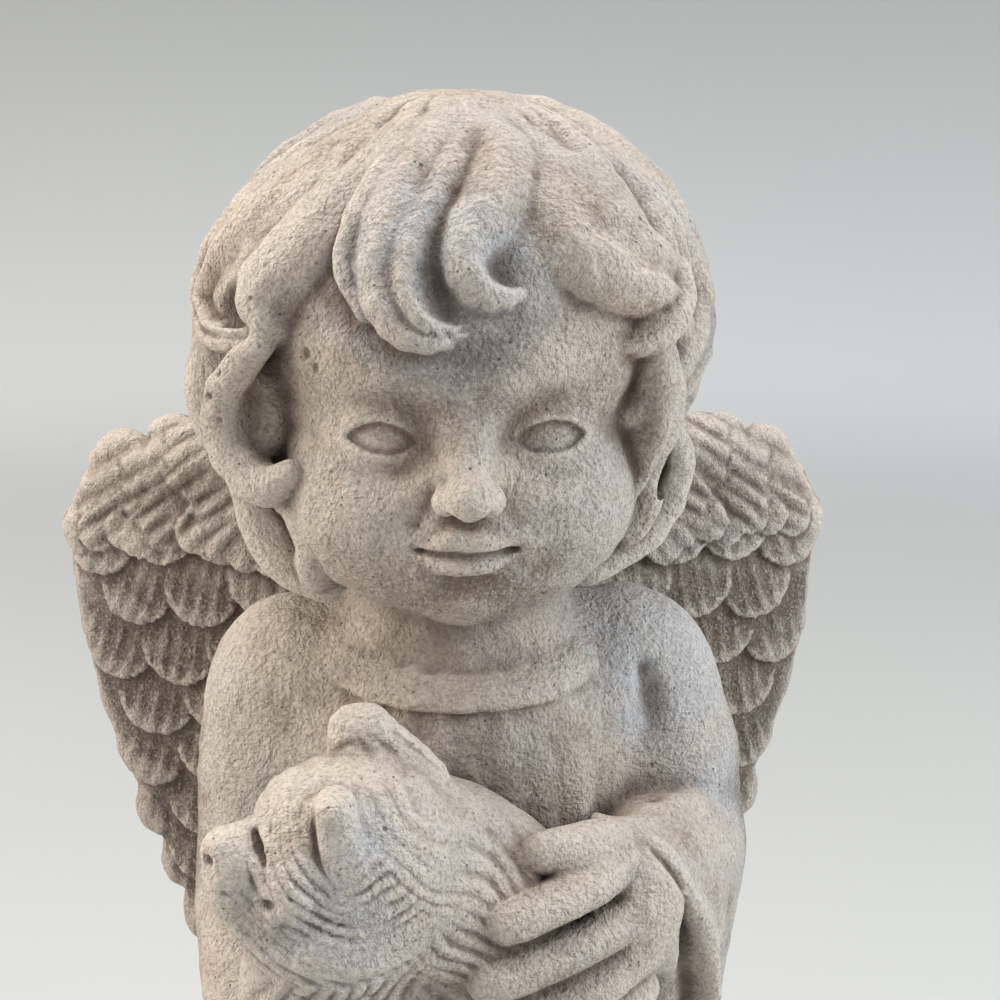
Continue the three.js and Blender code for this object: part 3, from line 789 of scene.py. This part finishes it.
def fur(part):
    """Fur: round the ear on one side of the head, slanting over the rest, and in tufts on the chest."""
    cut = part.slices(*DOG_BOX)
    x, y, z = part.grid(cut)
    bend = noise(x, y, z, 9)
    ring = np.hypot(x - EAR[0], z - EAR[1])
    turn = np.arctan2(z - EAR[1], x - EAR[0])
    swirl = strands(ring + 0.8 * bend, 17 * turn, 1, 2.1)
    side = strands(0.7 * x + 0.7 * z + bend, 0.7 * x - 0.7 * z, 2, 2.3)
    down = tufts(0.95 * x - 0.3 * z + 1.5 * bend, -0.3 * x - 0.95 * z, 3, wide=3.3, long=10) - 0.4
    around = np.abs(np.mod(turn - 0.35 + math.pi, 2 * math.pi) - math.pi)
    on_ring = np.clip((26 - ring) / 1.5, 0, 1) * np.clip((around - 1.2) / 0.25, 0, 1)
    swirl = swirl * np.clip(ring / 8, 0, 1) * (1 - 0.5 * np.clip((ring - 17) / 4, 0, 1))
    on_chest = np.clip((208 - z) / 3, 0, 1) * np.clip((-6 - x) / 8, 0, 1) * (1 - on_ring)
    bald = np.clip((-36 - x) / 2, 0, 1) * np.clip((z - 214) / 5, 0, 1)
    wave = on_ring * swirl + (1 - on_ring) * (on_chest * 1.9 * down + (1 - on_chest) * side)
    groove = np.exp(-(((ring - 26.5) / 1.3) ** 2))  # under the jaw, where the fur on the head ends
    wave -= 0.9 * groove * np.clip((around - 1.3) / 0.3, 0, 1) * np.clip((212 - z) / 3, 0, 1)
    # There is less relief where the surface turns away.
    facing = np.clip(-1.3 * np.gradient(part.value[cut], STEP, axis=1) - 0.15, 0.28, 1)
    depth = 0.85 * facing * (1 - 0.8 * bald) * np.clip((-34 - y) / 6, 0, 1)
    part.value[cut] -= (depth * wave).astype(np.float32)


# ---- Wings ----
WING = {"root": 30, "lean": 0.31, "low": 84, "top": 288}
WING_ARM = [
    (6, 34, 264, 9, 9), (26, 36, 272, 9, 9.5), (48, 41, 276, 8, 9.5), (66, 47, 271.5, 7.5, 9),
    (78, 52, 264.5, 6.5, 8), (87, 55.5, 256.5, 4.6, 6),
]
FAN = (-1.5, 313)  # the point from which the plumes over the arm spread, outwards and up


def feather(sheets, x, z, root, tip, half_width, lift, ribs, slope=5.5):
    """One feather over the relief: a rounded blade with fanned ribs, rising by slope from root to tip."""
    relief, outline = sheets
    root, tip = np.array(root, float), np.array(tip, float)
    way = unit(tip - root)
    reach = np.linalg.norm(tip - root)
    length = reach - half_width
    across = (x - root[0]) * way[1] - (z - root[1]) * way[0]
    along = (x - root[0]) * way[0] + (z - root[1]) * way[1]
    share = np.clip(along / length, 0, 1)
    edge = np.hypot(across, along - share * length) - half_width * (0.82 + 0.18 * share)
    q = np.clip(across / half_width, -1, 1)
    dome = np.sqrt(np.clip(1 - q * q, 0, 1))
    end = np.clip((reach - along) / 3.5, 0, 1) ** 0.5
    uneven = noise(x, z, 0 * x + lift * 31 + tip[0], 3.2)
    ribbing = 0.36 * np.cos(2 * math.pi * ribs * q * (1.1 - 0.15 * share)) + 0.3 * uneven
    ribbing = ribbing * np.clip(share * 2, 0, 1)
    height = lift - slope * (1 - along / reach) + 0.8 * dome + 0.85 * ribbing * (1 - q**4) - (1 - end)
    np.copyto(relief, np.maximum(relief, height), where=edge < 0)
    np.minimum(outline, edge, out=outline)


ROWS = {"lowest": 171, "step": 13.6, "count": 7}
ROW_ENDS = [(171, 71), (185, 77.5), (198, 84), (212, 89), (239, 92.5), (253, 94)]  # height, reach
RIM = [  # height, reach
    (130, 54), (143, 58), (155, 64), (169, 69), (180, 74), (197, 82), (212, 88), (234, 92), (250, 93),
    (262, 86),
]
PLUME_ROOTS = [(4, 264), (26, 270), (48, 273.5), (66, 269), (78, 262)]  # reach, height


def wing_sheets(x, z, seed):
    """The relief and the outline of a wing over x outwards and z, with feathers laid from the lowest up."""
    chance = np.random.default_rng(seed)
    relief = np.full(np.broadcast(x, z).shape, -3.0)
    outline = np.full(relief.shape, 40.0)
    sheets = (relief, outline)
    # Long feathers, from the tip of the wing up along the outer edge, then inwards from it.
    long_ones = [(38, 88), (44, 95), (49, 109), (53, 122), (57, 136), (62, 150), (67, 164), (73, 178)]
    for number, tip in enumerate(long_ones):
        root = (23 + 6 * number, 190 + 4 * number)
        feather(sheets, x, z, root, tip, 7.5, 0.2 + 0.1 * number, 2, slope=2.5)
    for number, tip in enumerate([(31, 102), (25, 118), (19, 135), (12, 152), (6, 170)]):
        feather(sheets, x, z, (22 - 4 * number, 210), tip, 8, 0.5, 2, slope=2.5)
    # Short feathers, row over row.
    for row in range(ROWS["count"]):
        height = ROWS["lowest"] + ROWS["step"] * row
        outer = np.interp(height, *zip(*ROW_ENDS))
        for number in range(6):
            centre = outer - 8.5 - 16.5 * number - (8.0 if row % 2 else 0)
            if centre < 2:
                continue
            tilt = math.radians(2 + 22 * (centre / 94) ** 2 + chance.uniform(-4, 4))
            drop = 6 * (centre / 90) ** 2 + chance.uniform(-1.5, 1.5)
            tip = (centre + 2 * math.sin(tilt), height - drop)
            root = (tip[0] - 27 * math.sin(tilt), tip[1] + 27 * math.cos(tilt))
            width = 9.4 + chance.uniform(-0.9, 0.7)
            feather(sheets, x, z, root, tip, width, 2.2 + 0.25 * row, 2.5)
    # Plumes under the wing's arm, long and narrow, leaning out more and more.
    for number in range(15):
        share = number / 14
        centre = 74 - 70 * share
        top = np.interp(centre, *zip(*PLUME_ROOTS))
        tilt = math.radians(6 + 52 * (1 - share) ** 1.4 + chance.uniform(-4, 4))
        length = 20 + 5 * chance.random()
        tip = (min(92, centre + length * math.sin(tilt)), top - length * math.cos(tilt))
        feather(sheets, x, z, (centre, top), tip, 4.8, 4.8 + chance.uniform(-0.5, 0.5), 1, slope=6.5)
    # Behind the feathers the wing runs on nearly to their tips.
    beyond = 0.9 * (x + 1.8 - np.interp(z, *zip(*RIM)))
    beyond = np.maximum(beyond, np.maximum(128 - z, z - 262))
    relief = np.where(beyond < 0, np.maximum(relief, 1.0), relief)
    return relief, np.minimum(outline, beyond)


def wing(block, side):
    """Front and back surfaces about a leaning middle plane, thinning to a rounded edge."""
    reach = 98 * side
    corners = ((min(0, reach), 14, WING["low"] - 4), (max(0, reach), 78, WING["top"] + 4))
    x, y, z = block.grid(block.slices(*corners))
    out = x * side
    relief, outline = [sheet.astype(np.float32) for sheet in wing_sheets(out[:, :, 0], z[0], 5 + side)]
    relief, outline = relief[:, None, :], outline[:, None, :]
    rounding = np.clip(-outline / 5, 0, 1)
    rounding = np.sqrt(1 - (1 - rounding) ** 2)
    upper = np.clip((z - 100) / 150, 0, 1)
    thick = (2.2 + 4.2 * upper) * (0.45 + 0.55 * rounding)
    middle = WING["root"] + WING["lean"] * out - 5 * np.sin(np.clip(out / 95, 0, 1) * math.pi) * upper
    raised = relief * (0.35 + 0.65 * rounding)
    front = (middle - thick - raised) - y
    back = y - (middle + thick + 0.6 * raised)
    value = np.maximum(np.maximum(front, back) * 0.86, outline)
    part = block.piece(*corners)
    part.value[:] = np.broadcast_to(value, part.value.shape)
    sweep(part, [(x * side, *rest) for x, *rest in WING_ARM], facing=(0, -1, 0), blend=5)
    # Plumes over the arm.
    fan = np.arctan2(out - FAN[0], FAN[1] - z)
    from_fan = np.hypot(out - FAN[0], FAN[1] - z)
    plumes = tufts(68 * fan, from_fan + 0 * fan, 4, wide=3.6, long=13)
    part.value -= (1.2 * np.clip((z - 252) / 8, 0, 1) * (plumes - 0.4)).astype(np.float32)
    block.join(part, 2.5)


# ---- From the block to a mesh ----
def surface(block):
    """One point in each cell that the surface crosses, and a face round each edge that it crosses.

    A point is the mean of the crossings on its cell's edges.
    """
    value = block.value
    inside = value < 0
    nx, ny, nz = value.shape
    corners = [(a, b, c) for a in (0, 1) for b in (0, 1) for c in (0, 1)]
    filled = np.zeros((nx - 1, ny - 1, nz - 1), np.uint8)
    for a, b, c in corners:
        filled += inside[a : nx - 1 + a, b : ny - 1 + b, c : nz - 1 + c]
    cells = np.flatnonzero((filled > 0) & (filled < 8))
    number = np.full(filled.size, -1, np.int32)
    number[cells] = np.arange(len(cells), dtype=np.int32)
    number = number.reshape(filled.shape)
    index = np.stack(np.unravel_index(cells, filled.shape), 1)
    held = {c: value[index[:, 0] + c[0], index[:, 1] + c[1], index[:, 2] + c[2]] for c in corners}
    total = np.zeros((len(cells), 3))
    count = np.zeros(len(cells))
    for start in corners:
        for axis in range(3):
            if start[axis]:
                continue
            end = tuple(1 if i == axis else s for i, s in enumerate(start))
            a, b = held[start], held[end]
            crossed = (a < 0) != (b < 0)
            share = np.where(crossed, a / np.where(crossed, a - b, 1), 0)
            place = np.tile(np.array(start, float), (len(cells), 1))
            place[:, axis] += share
            total += place * crossed[:, None]
            count += crossed
    points = index + total / count[:, None]
    faces = []
    for axis in range(3):
        one, two = (axis + 1) % 3, (axis + 2) % 3
        low = [slice(1, -1)] * 3
        low[axis] = slice(0, -1)
        high = list(low)
        high[axis] = slice(1, None)
        starts = inside[tuple(low)]
        at = np.argwhere(starts != inside[tuple(high)])
        outwards = starts[tuple(at.T)]
        at[:, one] += 1
        at[:, two] += 1
        ring = []
        for shift_one, shift_two in ((-1, -1), (0, -1), (0, 0), (-1, 0)):
            cell = at.copy()
            cell[:, one] += shift_one
            cell[:, two] += shift_two
            ring.append(number[tuple(cell.T)])
        quads = np.stack(ring, 1)
        quads[~outwards] = quads[~outwards][:, ::-1]
        faces.append(quads)
    return points, np.concatenate(faces)


def sample(values, points):
    """Values between the samples, in straight lines along the axes. Points are in steps from the corner."""
    points = np.clip(points, 0, np.array(values.shape) - 1.001)
    whole = points.astype(np.int64)
    share = (points - whole).astype(np.float32)
    result = np.zeros(len(points), np.float32)
    for a in (0, 1):
        for b in (0, 1):
            for c in (0, 1):
                weight = np.abs(1 - a - share[:, 0]) * np.abs(1 - b - share[:, 1])
                weight = weight * np.abs(1 - c - share[:, 2])
                result += weight * values[whole[:, 0] + a, whole[:, 1] + b, whole[:, 2] + c]
    return result


def slope(values, points):
    """The direction in which the values rise."""
    rows = []
    for axis in range(3):
        shift = np.zeros(3)
        shift[axis] = 0.6
        rows.append(sample(values, points + shift) - sample(values, points - shift))
    return unit(np.stack(rows, 1))


def settle(values, points):
    """Moves points onto the surface, twice, along the slope and by no more than half a step."""
    for _ in range(2):
        away = np.clip(sample(values, points) / STEP, -0.5, 0.5)
        points = points - slope(values, points) * away[:, None]
    return points


def fullness(block, reach):
    """The share of stone within a reach of every second sample, from running sums along each axis."""
    solid = np.clip(0.5 - block.value / STEP, 0, 1)
    solid = solid[: solid.shape[0] // 2 * 2, : solid.shape[1] // 2 * 2, : solid.shape[2] // 2 * 2]
    nx, ny, nz = [n // 2 for n in solid.shape]
    share = solid.reshape(nx, 2, ny, 2, nz, 2).mean((1, 3, 5))
    width = max(1, round(reach / (2 * STEP)))
    for axis in range(3):
        for _ in range(2):
            pads = [(0, 0)] * 3
            pads[axis] = (width + 1, width)
            sums = np.cumsum(np.pad(share, pads, mode="edge"), axis=axis, dtype=np.float64)
            high = np.take(sums, range(2 * width + 1, sums.shape[axis]), axis=axis)
            low = np.take(sums, range(0, sums.shape[axis] - 2 * width - 1), axis=axis)
            share = ((high - low) / (2 * width + 1)).astype(np.float32)
    return share


def bend_of_surface(values, points):
    """0.5 where flat, less on a ridge, more in a groove, from the distances on six sides of a place."""
    reach = 1.1 / STEP
    total = -6 * sample(values, points)
    for axis in range(3):
        shift = np.zeros(3)
        shift[axis] = reach
        total += sample(values, points + shift) + sample(values, points - shift)
    return np.clip(0.5 - total / 6, 0, 1)


def add_layer(mesh, name, values):
    """A number on each of the mesh's points, for the stone's material."""
    mesh.attributes.new(name, "FLOAT", "POINT").data.foreach_set("value", values.astype(np.float32))


def sculpt():
    """The whole figure in one block, from the robe outwards, so that what lies on top is added last."""
    low, high = (-99, -85, -6), (99, 79, HEIGHT + 6)
    block = Block([np.arange(a, b, STEP, dtype=np.float32) for a, b in zip(low, high)])
    robe(block)
    body(block)
    chest_folds(block)
    neckband(block)
    wing(block, 1)
    wing(block, -1)
    face(block)
    hair(block)
    sleeves(block)
    dog(block)
    hands(block)
    cuff(block)
    plinth(block)
    feet(block)
    return block


def new_mesh(name, points, faces):
    """A mesh of faces that all have the same number of corners."""
    mesh = bpy.data.meshes.new(name)
    mesh.vertices.add(len(points))
    mesh.vertices.foreach_set("co", points.astype(np.float32).ravel())
    mesh.loops.add(faces.size)
    mesh.loops.foreach_set("vertex_index", faces.astype(np.int32).ravel())
    mesh.polygons.add(len(faces))
    mesh.polygons.foreach_set("loop_start", np.arange(0, faces.size, faces.shape[1], dtype=np.int32))
    mesh.update(calc_edges=True)
    mesh.validate()
    return mesh


def statue():
    """The sculpted block as one mesh: worn a little, thinned, and with the layers that the stone reads."""
    block = sculpt()
    corner = np.array([axis[0] for axis in block.axes])
    points, faces = surface(block)
    points = settle(block.value, points)
    normal = slope(block.value, points)
    places = corner + points * STEP
    # The casting is worn and uneven, and rougher on the hair.
    out = np.linalg.norm((places - HAIR_CENTRE) / HAIR_RADII, axis=1)
    rough = np.clip((out - 0.93) / 0.05, 0, 1) * np.clip((places[:, 2] - 255) / 10, 0, 1)
    worn = 0.28 * noise(*places.T, 7) + (0.18 + 0.22 * rough) * noise(*places.T, 3.0)
    worn = worn + 0.35 * noise(*places.T, 24)
    places = places + normal * worn[:, None]
    places[:, 2] = np.maximum(places[:, 2], 0)
    piece = bpy.data.objects.new("statue", new_mesh("statue", places * UNIT, faces))
    bpy.context.scene.collection.objects.link(piece)
    thin = piece.modifiers.new("thin", "DECIMATE")
    thin.ratio = TRIANGLES / (2 * len(faces))
    graph = bpy.context.evaluated_depsgraph_get()
    mesh = bpy.data.meshes.new_from_object(piece.evaluated_get(graph))
    piece.modifiers.clear()
    piece.data = mesh
    mesh = piece.data
    mesh.polygons.foreach_set("use_smooth", np.ones(len(mesh.polygons), bool))
    at = np.empty(len(mesh.vertices) * 3, np.float32)
    mesh.vertices.foreach_get("co", at)
    steps = (at.reshape(-1, 3) / UNIT - corner) / STEP
    add_layer(mesh, "edge", bend_of_surface(block.value, steps))
    for name, reach in (("crevice", 2.2), ("hollow", 6.5)):
        add_layer(mesh, name, sample(fullness(block, reach), (steps - 0.5) / 2))
    return piece


# ---- Stone ----
def shade(red, green, blue):
    """A colour from its values out of 255, in straight light: ((c + 0.055) / 1.055)^2.4."""
    return tuple(((value / 255 + 0.055) / 1.055) ** 2.4 for value in (red, green, blue)) + (1,)


class Nodes:
    """Adds nodes to a material and joins them to what they are given."""

    def __init__(self, material):
        material.use_nodes = True
        self.tree = material.node_tree
        self.shader = self.tree.nodes["Principled BSDF"]
        self.place = self.add("ShaderNodeTexCoord").outputs["Object"]

    def add(self, kind, inputs=(), **settings):
        """A node with its settings, and its inputs joined to sockets or set to values."""
        made = self.tree.nodes.new(kind)
        for name, value in settings.items():
            setattr(made, name, value)
        for name, value in dict(inputs).items():
            if isinstance(value, bpy.types.NodeSocket):
                self.tree.links.new(value, made.inputs[name])
            else:
                made.inputs[name].default_value = value
        return made

    def math(self, how, a, b=0.0, held=False):
        """Arithmetic on two values, held between 0 and 1 if asked."""
        return self.add("ShaderNodeMath", {0: a, 1: b}, operation=how, use_clamp=held).outputs[0]

    def noise(self, size, detail=3, rough=0.55, twist=0.0):
        """Noise whose blotches are about the given size."""
        inputs = {"Vector": self.place, "Scale": 1 / (size * UNIT)}
        inputs |= {"Detail": detail, "Roughness": rough, "Distortion": twist}
        return self.add("ShaderNodeTexNoise", inputs).outputs["Fac"]

    def ramp(self, value, low, high, start=0.0, end=1.0):
        """Carries values between low and high to start and end, and holds them there."""
        inputs = {"Value": value, "From Min": low, "From Max": high, "To Min": start, "To Max": end}
        return self.add("ShaderNodeMapRange", inputs).outputs["Result"]

    def mix(self, share, under, over):
        """One colour laid over another."""
        inputs = {"Factor": share, "A": under, "B": over}
        made = self.tree.nodes.new("ShaderNodeMix")
        made.data_type = "RGBA"
        for socket in made.inputs:
            if socket.enabled and socket.name in inputs:
                value = inputs[socket.name]
                if isinstance(value, bpy.types.NodeSocket):
                    self.tree.links.new(value, socket)
                else:
                    socket.default_value = value
        return next(socket for socket in made.outputs if socket.enabled)

    def pits(self, size, share, width):
        """Round pits: 1 within width of some of the points of a random grid, and 0 beyond."""
        cells = self.add("ShaderNodeTexVoronoi", {"Vector": self.place, "Scale": 1 / (size * UNIT)})
        near = self.ramp(cells.outputs["Distance"], width * 0.55, width, 1, 0)
        apart = self.add("ShaderNodeSeparateColor", {"Color": cells.outputs["Color"]}).outputs[0]
        return self.math("MULTIPLY", near, self.math("LESS_THAN", apart, share))

    def patch(self, centre, reach, ragged, tear):
        """1 about a place and 0 beyond its reach, with an edge made ragged by the noise in tear."""
        middle = tuple(c * UNIT for c in centre)
        ends = {0: self.place, 1: middle}
        gap = self.add("ShaderNodeVectorMath", ends, operation="DISTANCE").outputs["Value"]
        torn = self.math("MULTIPLY", tear, ragged * UNIT)
        return self.ramp(self.math("ADD", gap, torn), reach * UNIT, (reach + ragged) * UNIT, 1, 0)


GREY_PATCHES = [  # middle and reach
    ((40, -6, 238), 17), ((50, -6, 214), 12), ((-24, -68, 219), 10), ((-18, -72, 232), 6),
    ((-38, -66, 222), 6), ((-4, -36, 318), 18), ((-36, 24, 300), 22), ((20, 40, 190), 25),
]
# Grime and painted shade on the wings behind the body, the forehead under the fringe, under the chin, the
# chest under the head and the fronts of the fingers. The small patches are dirt in the pits and a stain on
# the hair.
GRIME_AND_SHADE_PATCHES = [  # middle, reach, and how much grime and painted shade lies there
    ((-66, 46, 196), 56, 1.6), ((66, 46, 196), 56, 1.4), ((-60, 44, 250), 32, 0.7), ((60, 44, 250), 32, 0.7),
    ((0, -40, 260), 13, 1.1), ((-4, -44, 306), 16, 0.7), ((2, -26, 222), 16, 0.5), ((20, -76, 204), 18, 0.6),
    ((-27, -34, 303), 2, 1), ((-43, -28, 297), 4, 0.8), ((50, -14, 309), 4, 1), ((24, -34, 330), 6, 0.6),
]


def patches(n, rows, ragged, tear):
    """How much of the stone the patches cover: the most that any of them does at a place."""
    covered = 0
    for middle, reach, *share in rows:
        patch = n.patch(middle, reach, ragged, tear)
        if share:
            patch = n.math("MULTIPLY", patch, share[0])
        covered = n.math("MAXIMUM", covered, patch)
    return covered


def stone():
    """Weathered cast stone: lighter where it stands out, a painted highlight that is partly wear; brown-grey
    dirt and painted shade in hollows; patches and pores.
    """
    material = bpy.data.materials.new("cast_stone")
    n = Nodes(material)
    crevice, hollow, edge = [
        n.add("ShaderNodeAttribute", attribute_name=name).outputs["Fac"]
        for name in ("crevice", "hollow", "edge")
    ]
    broad = n.noise(42, 4, 0.6, 0.6)
    blotch = n.noise(11, 5, 0.65, 0.4)
    mottle = n.noise(2.2, 3, 0.75)
    grain = n.noise(0.75, 2, 0.7)
    tear = n.noise(9, 3)
    wash = n.noise(26, 5, 0.65, 0.8)
    # Where each coat lies.
    bare = n.math("MULTIPLY", patches(n, GREY_PATCHES, 9, tear), 0.85)
    grime_and_shade = n.math("MULTIPLY", patches(n, GRIME_AND_SHADE_PATCHES, 14, tear), n.ramp(blotch, 0.3, 0.6, 0.45, 0.8))
    stain = n.math("MULTIPLY", n.ramp(wash, 0.50, 0.64), n.ramp(mottle, 0.35, 0.62, 0.25, 0.8))
    # Where the surface stands out, at three sizes: this drives a painted highlight, partly wear.
    ridge = n.ramp(crevice, 0.47, 0.36, 0, 0.6)
    ridge = n.math("ADD", ridge, n.ramp(hollow, 0.44, 0.30, 0, 0.6), held=True)
    ridge = n.math("ADD", ridge, n.ramp(edge, 0.46, 0.32, 0, 0.8), held=True)
    # The borders of the dirt and painted shade in hollows are ragged.
    ragged = n.ramp(blotch, 0.3, 0.7, -0.05, 0.05)
    narrow = n.math("ADD", crevice, ragged)
    dirt_and_shade = n.ramp(n.math("ADD", hollow, ragged), 0.50, 0.74, 0, 0.5)
    dirt_and_shade = n.math("ADD", n.ramp(narrow, 0.53, 0.70, 0, 0.5), dirt_and_shade, held=True)
    pore = n.math("MAXIMUM", n.pits(1.7, 0.28, 0.17), n.pits(7.5, 0.12, 0.07))
    coats = [  # the share of each coat over those before it, and its colour
        (bare, (182, 184, 188)),
        # Grime and painted shade from the patches above.
        (grime_and_shade, (98, 86, 77)),
        (n.ramp(blotch, 0.50, 0.72, 0, 0.5), (150, 136, 124)),
        (n.math("MULTIPLY", stain, 0.75), (146, 124, 104)),
        (n.ramp(mottle, 0.50, 0.72, 0, 0.32), (130, 118, 109)),
        # Painted highlight on ridges and raised parts, partly wear.
        (n.math("MULTIPLY", ridge, 0.5), (220, 208, 195)),
        (n.ramp(grain, 0.50, 0.72, 0.0, 0.4), (226, 218, 208)),
        # Dirt and painted shade in hollows.
        (dirt_and_shade, (108, 93, 82)),
        # Painted shade in fine grooves of strands, ribs and locks, partly dirt.
        (n.ramp(edge, 0.53, 0.68, 0, 0.6), (112, 98, 88)),
        # Painted shade, nearly black, deep in narrow crevices, partly dirt.
        (n.ramp(narrow, 0.68, 0.84, 0, 0.7), (56, 49, 44)),
        (n.ramp(grain, 0.50, 0.30, 0.0, 0.4), (92, 83, 77)),
        (n.math("MULTIPLY", pore, n.ramp(blotch, 0.35, 0.6, 0.25, 0.75)), (66, 58, 52)),
    ]
    colour = n.mix(n.ramp(broad, 0.38, 0.62), shade(188, 180, 173), shade(200, 185, 170))
    for share, tone in coats:
        colour = n.mix(share, colour, shade(*tone))
    n.tree.links.new(colour, n.shader.inputs["Base Color"])
    n.tree.links.new(n.ramp(blotch, 0.3, 0.7, 0.82, 0.97), n.shader.inputs["Roughness"])
    n.shader.inputs["Specular IOR Level"].default_value = 0.3
    # Relief in units: grain, small lumps and the pores.
    height = n.math("MULTIPLY", grain, 0.7)
    for lumps, tall in ((mottle, 1.4), (n.noise(5, 3, 0.72, 0.8), 1.8), (pore, -0.5)):
        height = n.math("ADD", height, n.math("MULTIPLY", lumps, tall))
    bump = n.add("ShaderNodeBump", {"Height": height, "Distance": UNIT, "Strength": 0.8})
    n.tree.links.new(bump.outputs["Normal"], n.shader.inputs["Normal"])
    return material


# ---- Stage, lights and camera ----
def stage():
    """A round floor that bends up into a pale wall: a profile turned about the middle, in metres."""
    arc = np.linspace(0, math.pi / 2, 20)
    flat, bend, tall = 1.6, 0.8, 3.0
    reach = np.concatenate([[0.02, 0.3, 0.6, 1.0, 1.3], flat + bend * np.sin(arc), [flat + bend]])
    height = np.concatenate([np.zeros(5), bend * (1 - np.cos(arc)), [tall]])
    around = np.radians(np.arange(0, 360, 3))
    points = np.stack(
        [reach[:, None] * np.cos(around), reach[:, None] * np.sin(around), height[:, None] + 0 * around], 2
    ).reshape(-1, 3)
    count = len(around)
    i, j = np.meshgrid(np.arange(len(reach) - 1), np.arange(count), indexing="ij")
    after = (j + 1) % count
    rings = [i * count + j, (i + 1) * count + j, (i + 1) * count + after, i * count + after]
    faces = np.stack(rings, -1).reshape(-1, 4)
    floor = bpy.data.objects.new("floor", new_mesh("floor", points, faces))
    bpy.context.scene.collection.objects.link(floor)
    floor.data.polygons.foreach_set("use_smooth", np.ones(len(floor.data.polygons), bool))
    paint = bpy.data.materials.new("floor")
    n = Nodes(paint)
    n.shader.inputs["Base Color"].default_value = shade(198, 199, 197)
    n.shader.inputs["Roughness"].default_value = 0.9
    # The wall glows a little with painted light, most at its foot, as if lit from all round, and with a
    # cooler tint towards +X on the side of the cool lamp.
    apart = n.add("ShaderNodeSeparateXYZ", {"Vector": n.place})
    squares = [n.math("POWER", apart.outputs[axis], 2) for axis in "XY"]
    away = n.math("SQRT", n.math("ADD", *squares))
    glow = n.math("MULTIPLY", n.ramp(away, 0.5, 1.9), n.ramp(apart.outputs["Z"], 0.1, 0.8, 0.35, 0.09))
    tint = n.mix(n.ramp(apart.outputs["X"], -0.6, 0.8), (1, 1, 0.98, 1), (0.86, 0.91, 0.96, 1))
    n.tree.links.new(n.mix(glow, (0, 0, 0, 1), tint), n.shader.inputs["Emission Color"])
    n.shader.inputs["Emission Strength"].default_value = 1
    paint.cycles.emission_sampling = "NONE"
    floor.data.materials.append(paint)


def light(name, place, size, power, colour, aim):
    """A square lamp that faces aim and isn't seen itself."""
    data = bpy.data.lights.new(name, "AREA")
    data.shape = "SQUARE"
    data.size = size
    data.energy = power
    data.color = colour
    lamp = bpy.data.objects.new(name, data)
    lamp.visible_camera = False
    bpy.context.scene.collection.objects.link(lamp)
    lamp.location = place
    lamp.rotation_euler = (Vector(aim) - Vector(place)).to_track_quat("-Z", "Y").to_euler()


def lights():
    """A broad soft light overhead, weaker ones from both sides, and the pale room round it all."""
    size, chest = 0.8, (0, 0, 0.28)
    light("above", (-0.12, 0.05, 1.25), size, 10.5, (1, 0.985, 0.965), chest)
    light("warm_left", (-1.2, -0.1, 0.75), size, 13.5, (1, 0.92, 0.83), chest)
    light("cool_right", (1.1, -0.35, 0.7), size, 13, (0.86, 0.93, 1), chest)
    world = bpy.data.worlds.new("room")
    world.use_nodes = True
    world.node_tree.nodes["Background"].inputs["Color"].default_value = (0.80, 0.83, 0.86, 1)
    world.node_tree.nodes["Background"].inputs["Strength"].default_value = 0.18
    bpy.context.scene.world = world
    bpy.context.scene.view_settings.view_transform = "Standard"


VIEW = {"from": (-10.6, -274.5, 330.7), "down": 12, "turn": -4, "field": 40}  # the angles in degrees


def camera():
    """Close in front of the head and a little above it."""
    data = bpy.data.cameras.new("camera")
    data.sensor_width = 36
    data.lens = 0.5 * data.sensor_width / math.tan(math.radians(0.5 * VIEW["field"]))
    eye = bpy.data.objects.new("camera", data)
    bpy.context.scene.collection.objects.link(eye)
    eye.location = np.array(VIEW["from"]) * UNIT
    eye.rotation_euler = (math.radians(90 - VIEW["down"]), 0, math.radians(VIEW["turn"]))
    bpy.context.scene.camera = eye


piece = statue()
piece.data.materials.append(stone())
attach(piece, "root")
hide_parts("putto_statue")
stage()
lights()
camera()
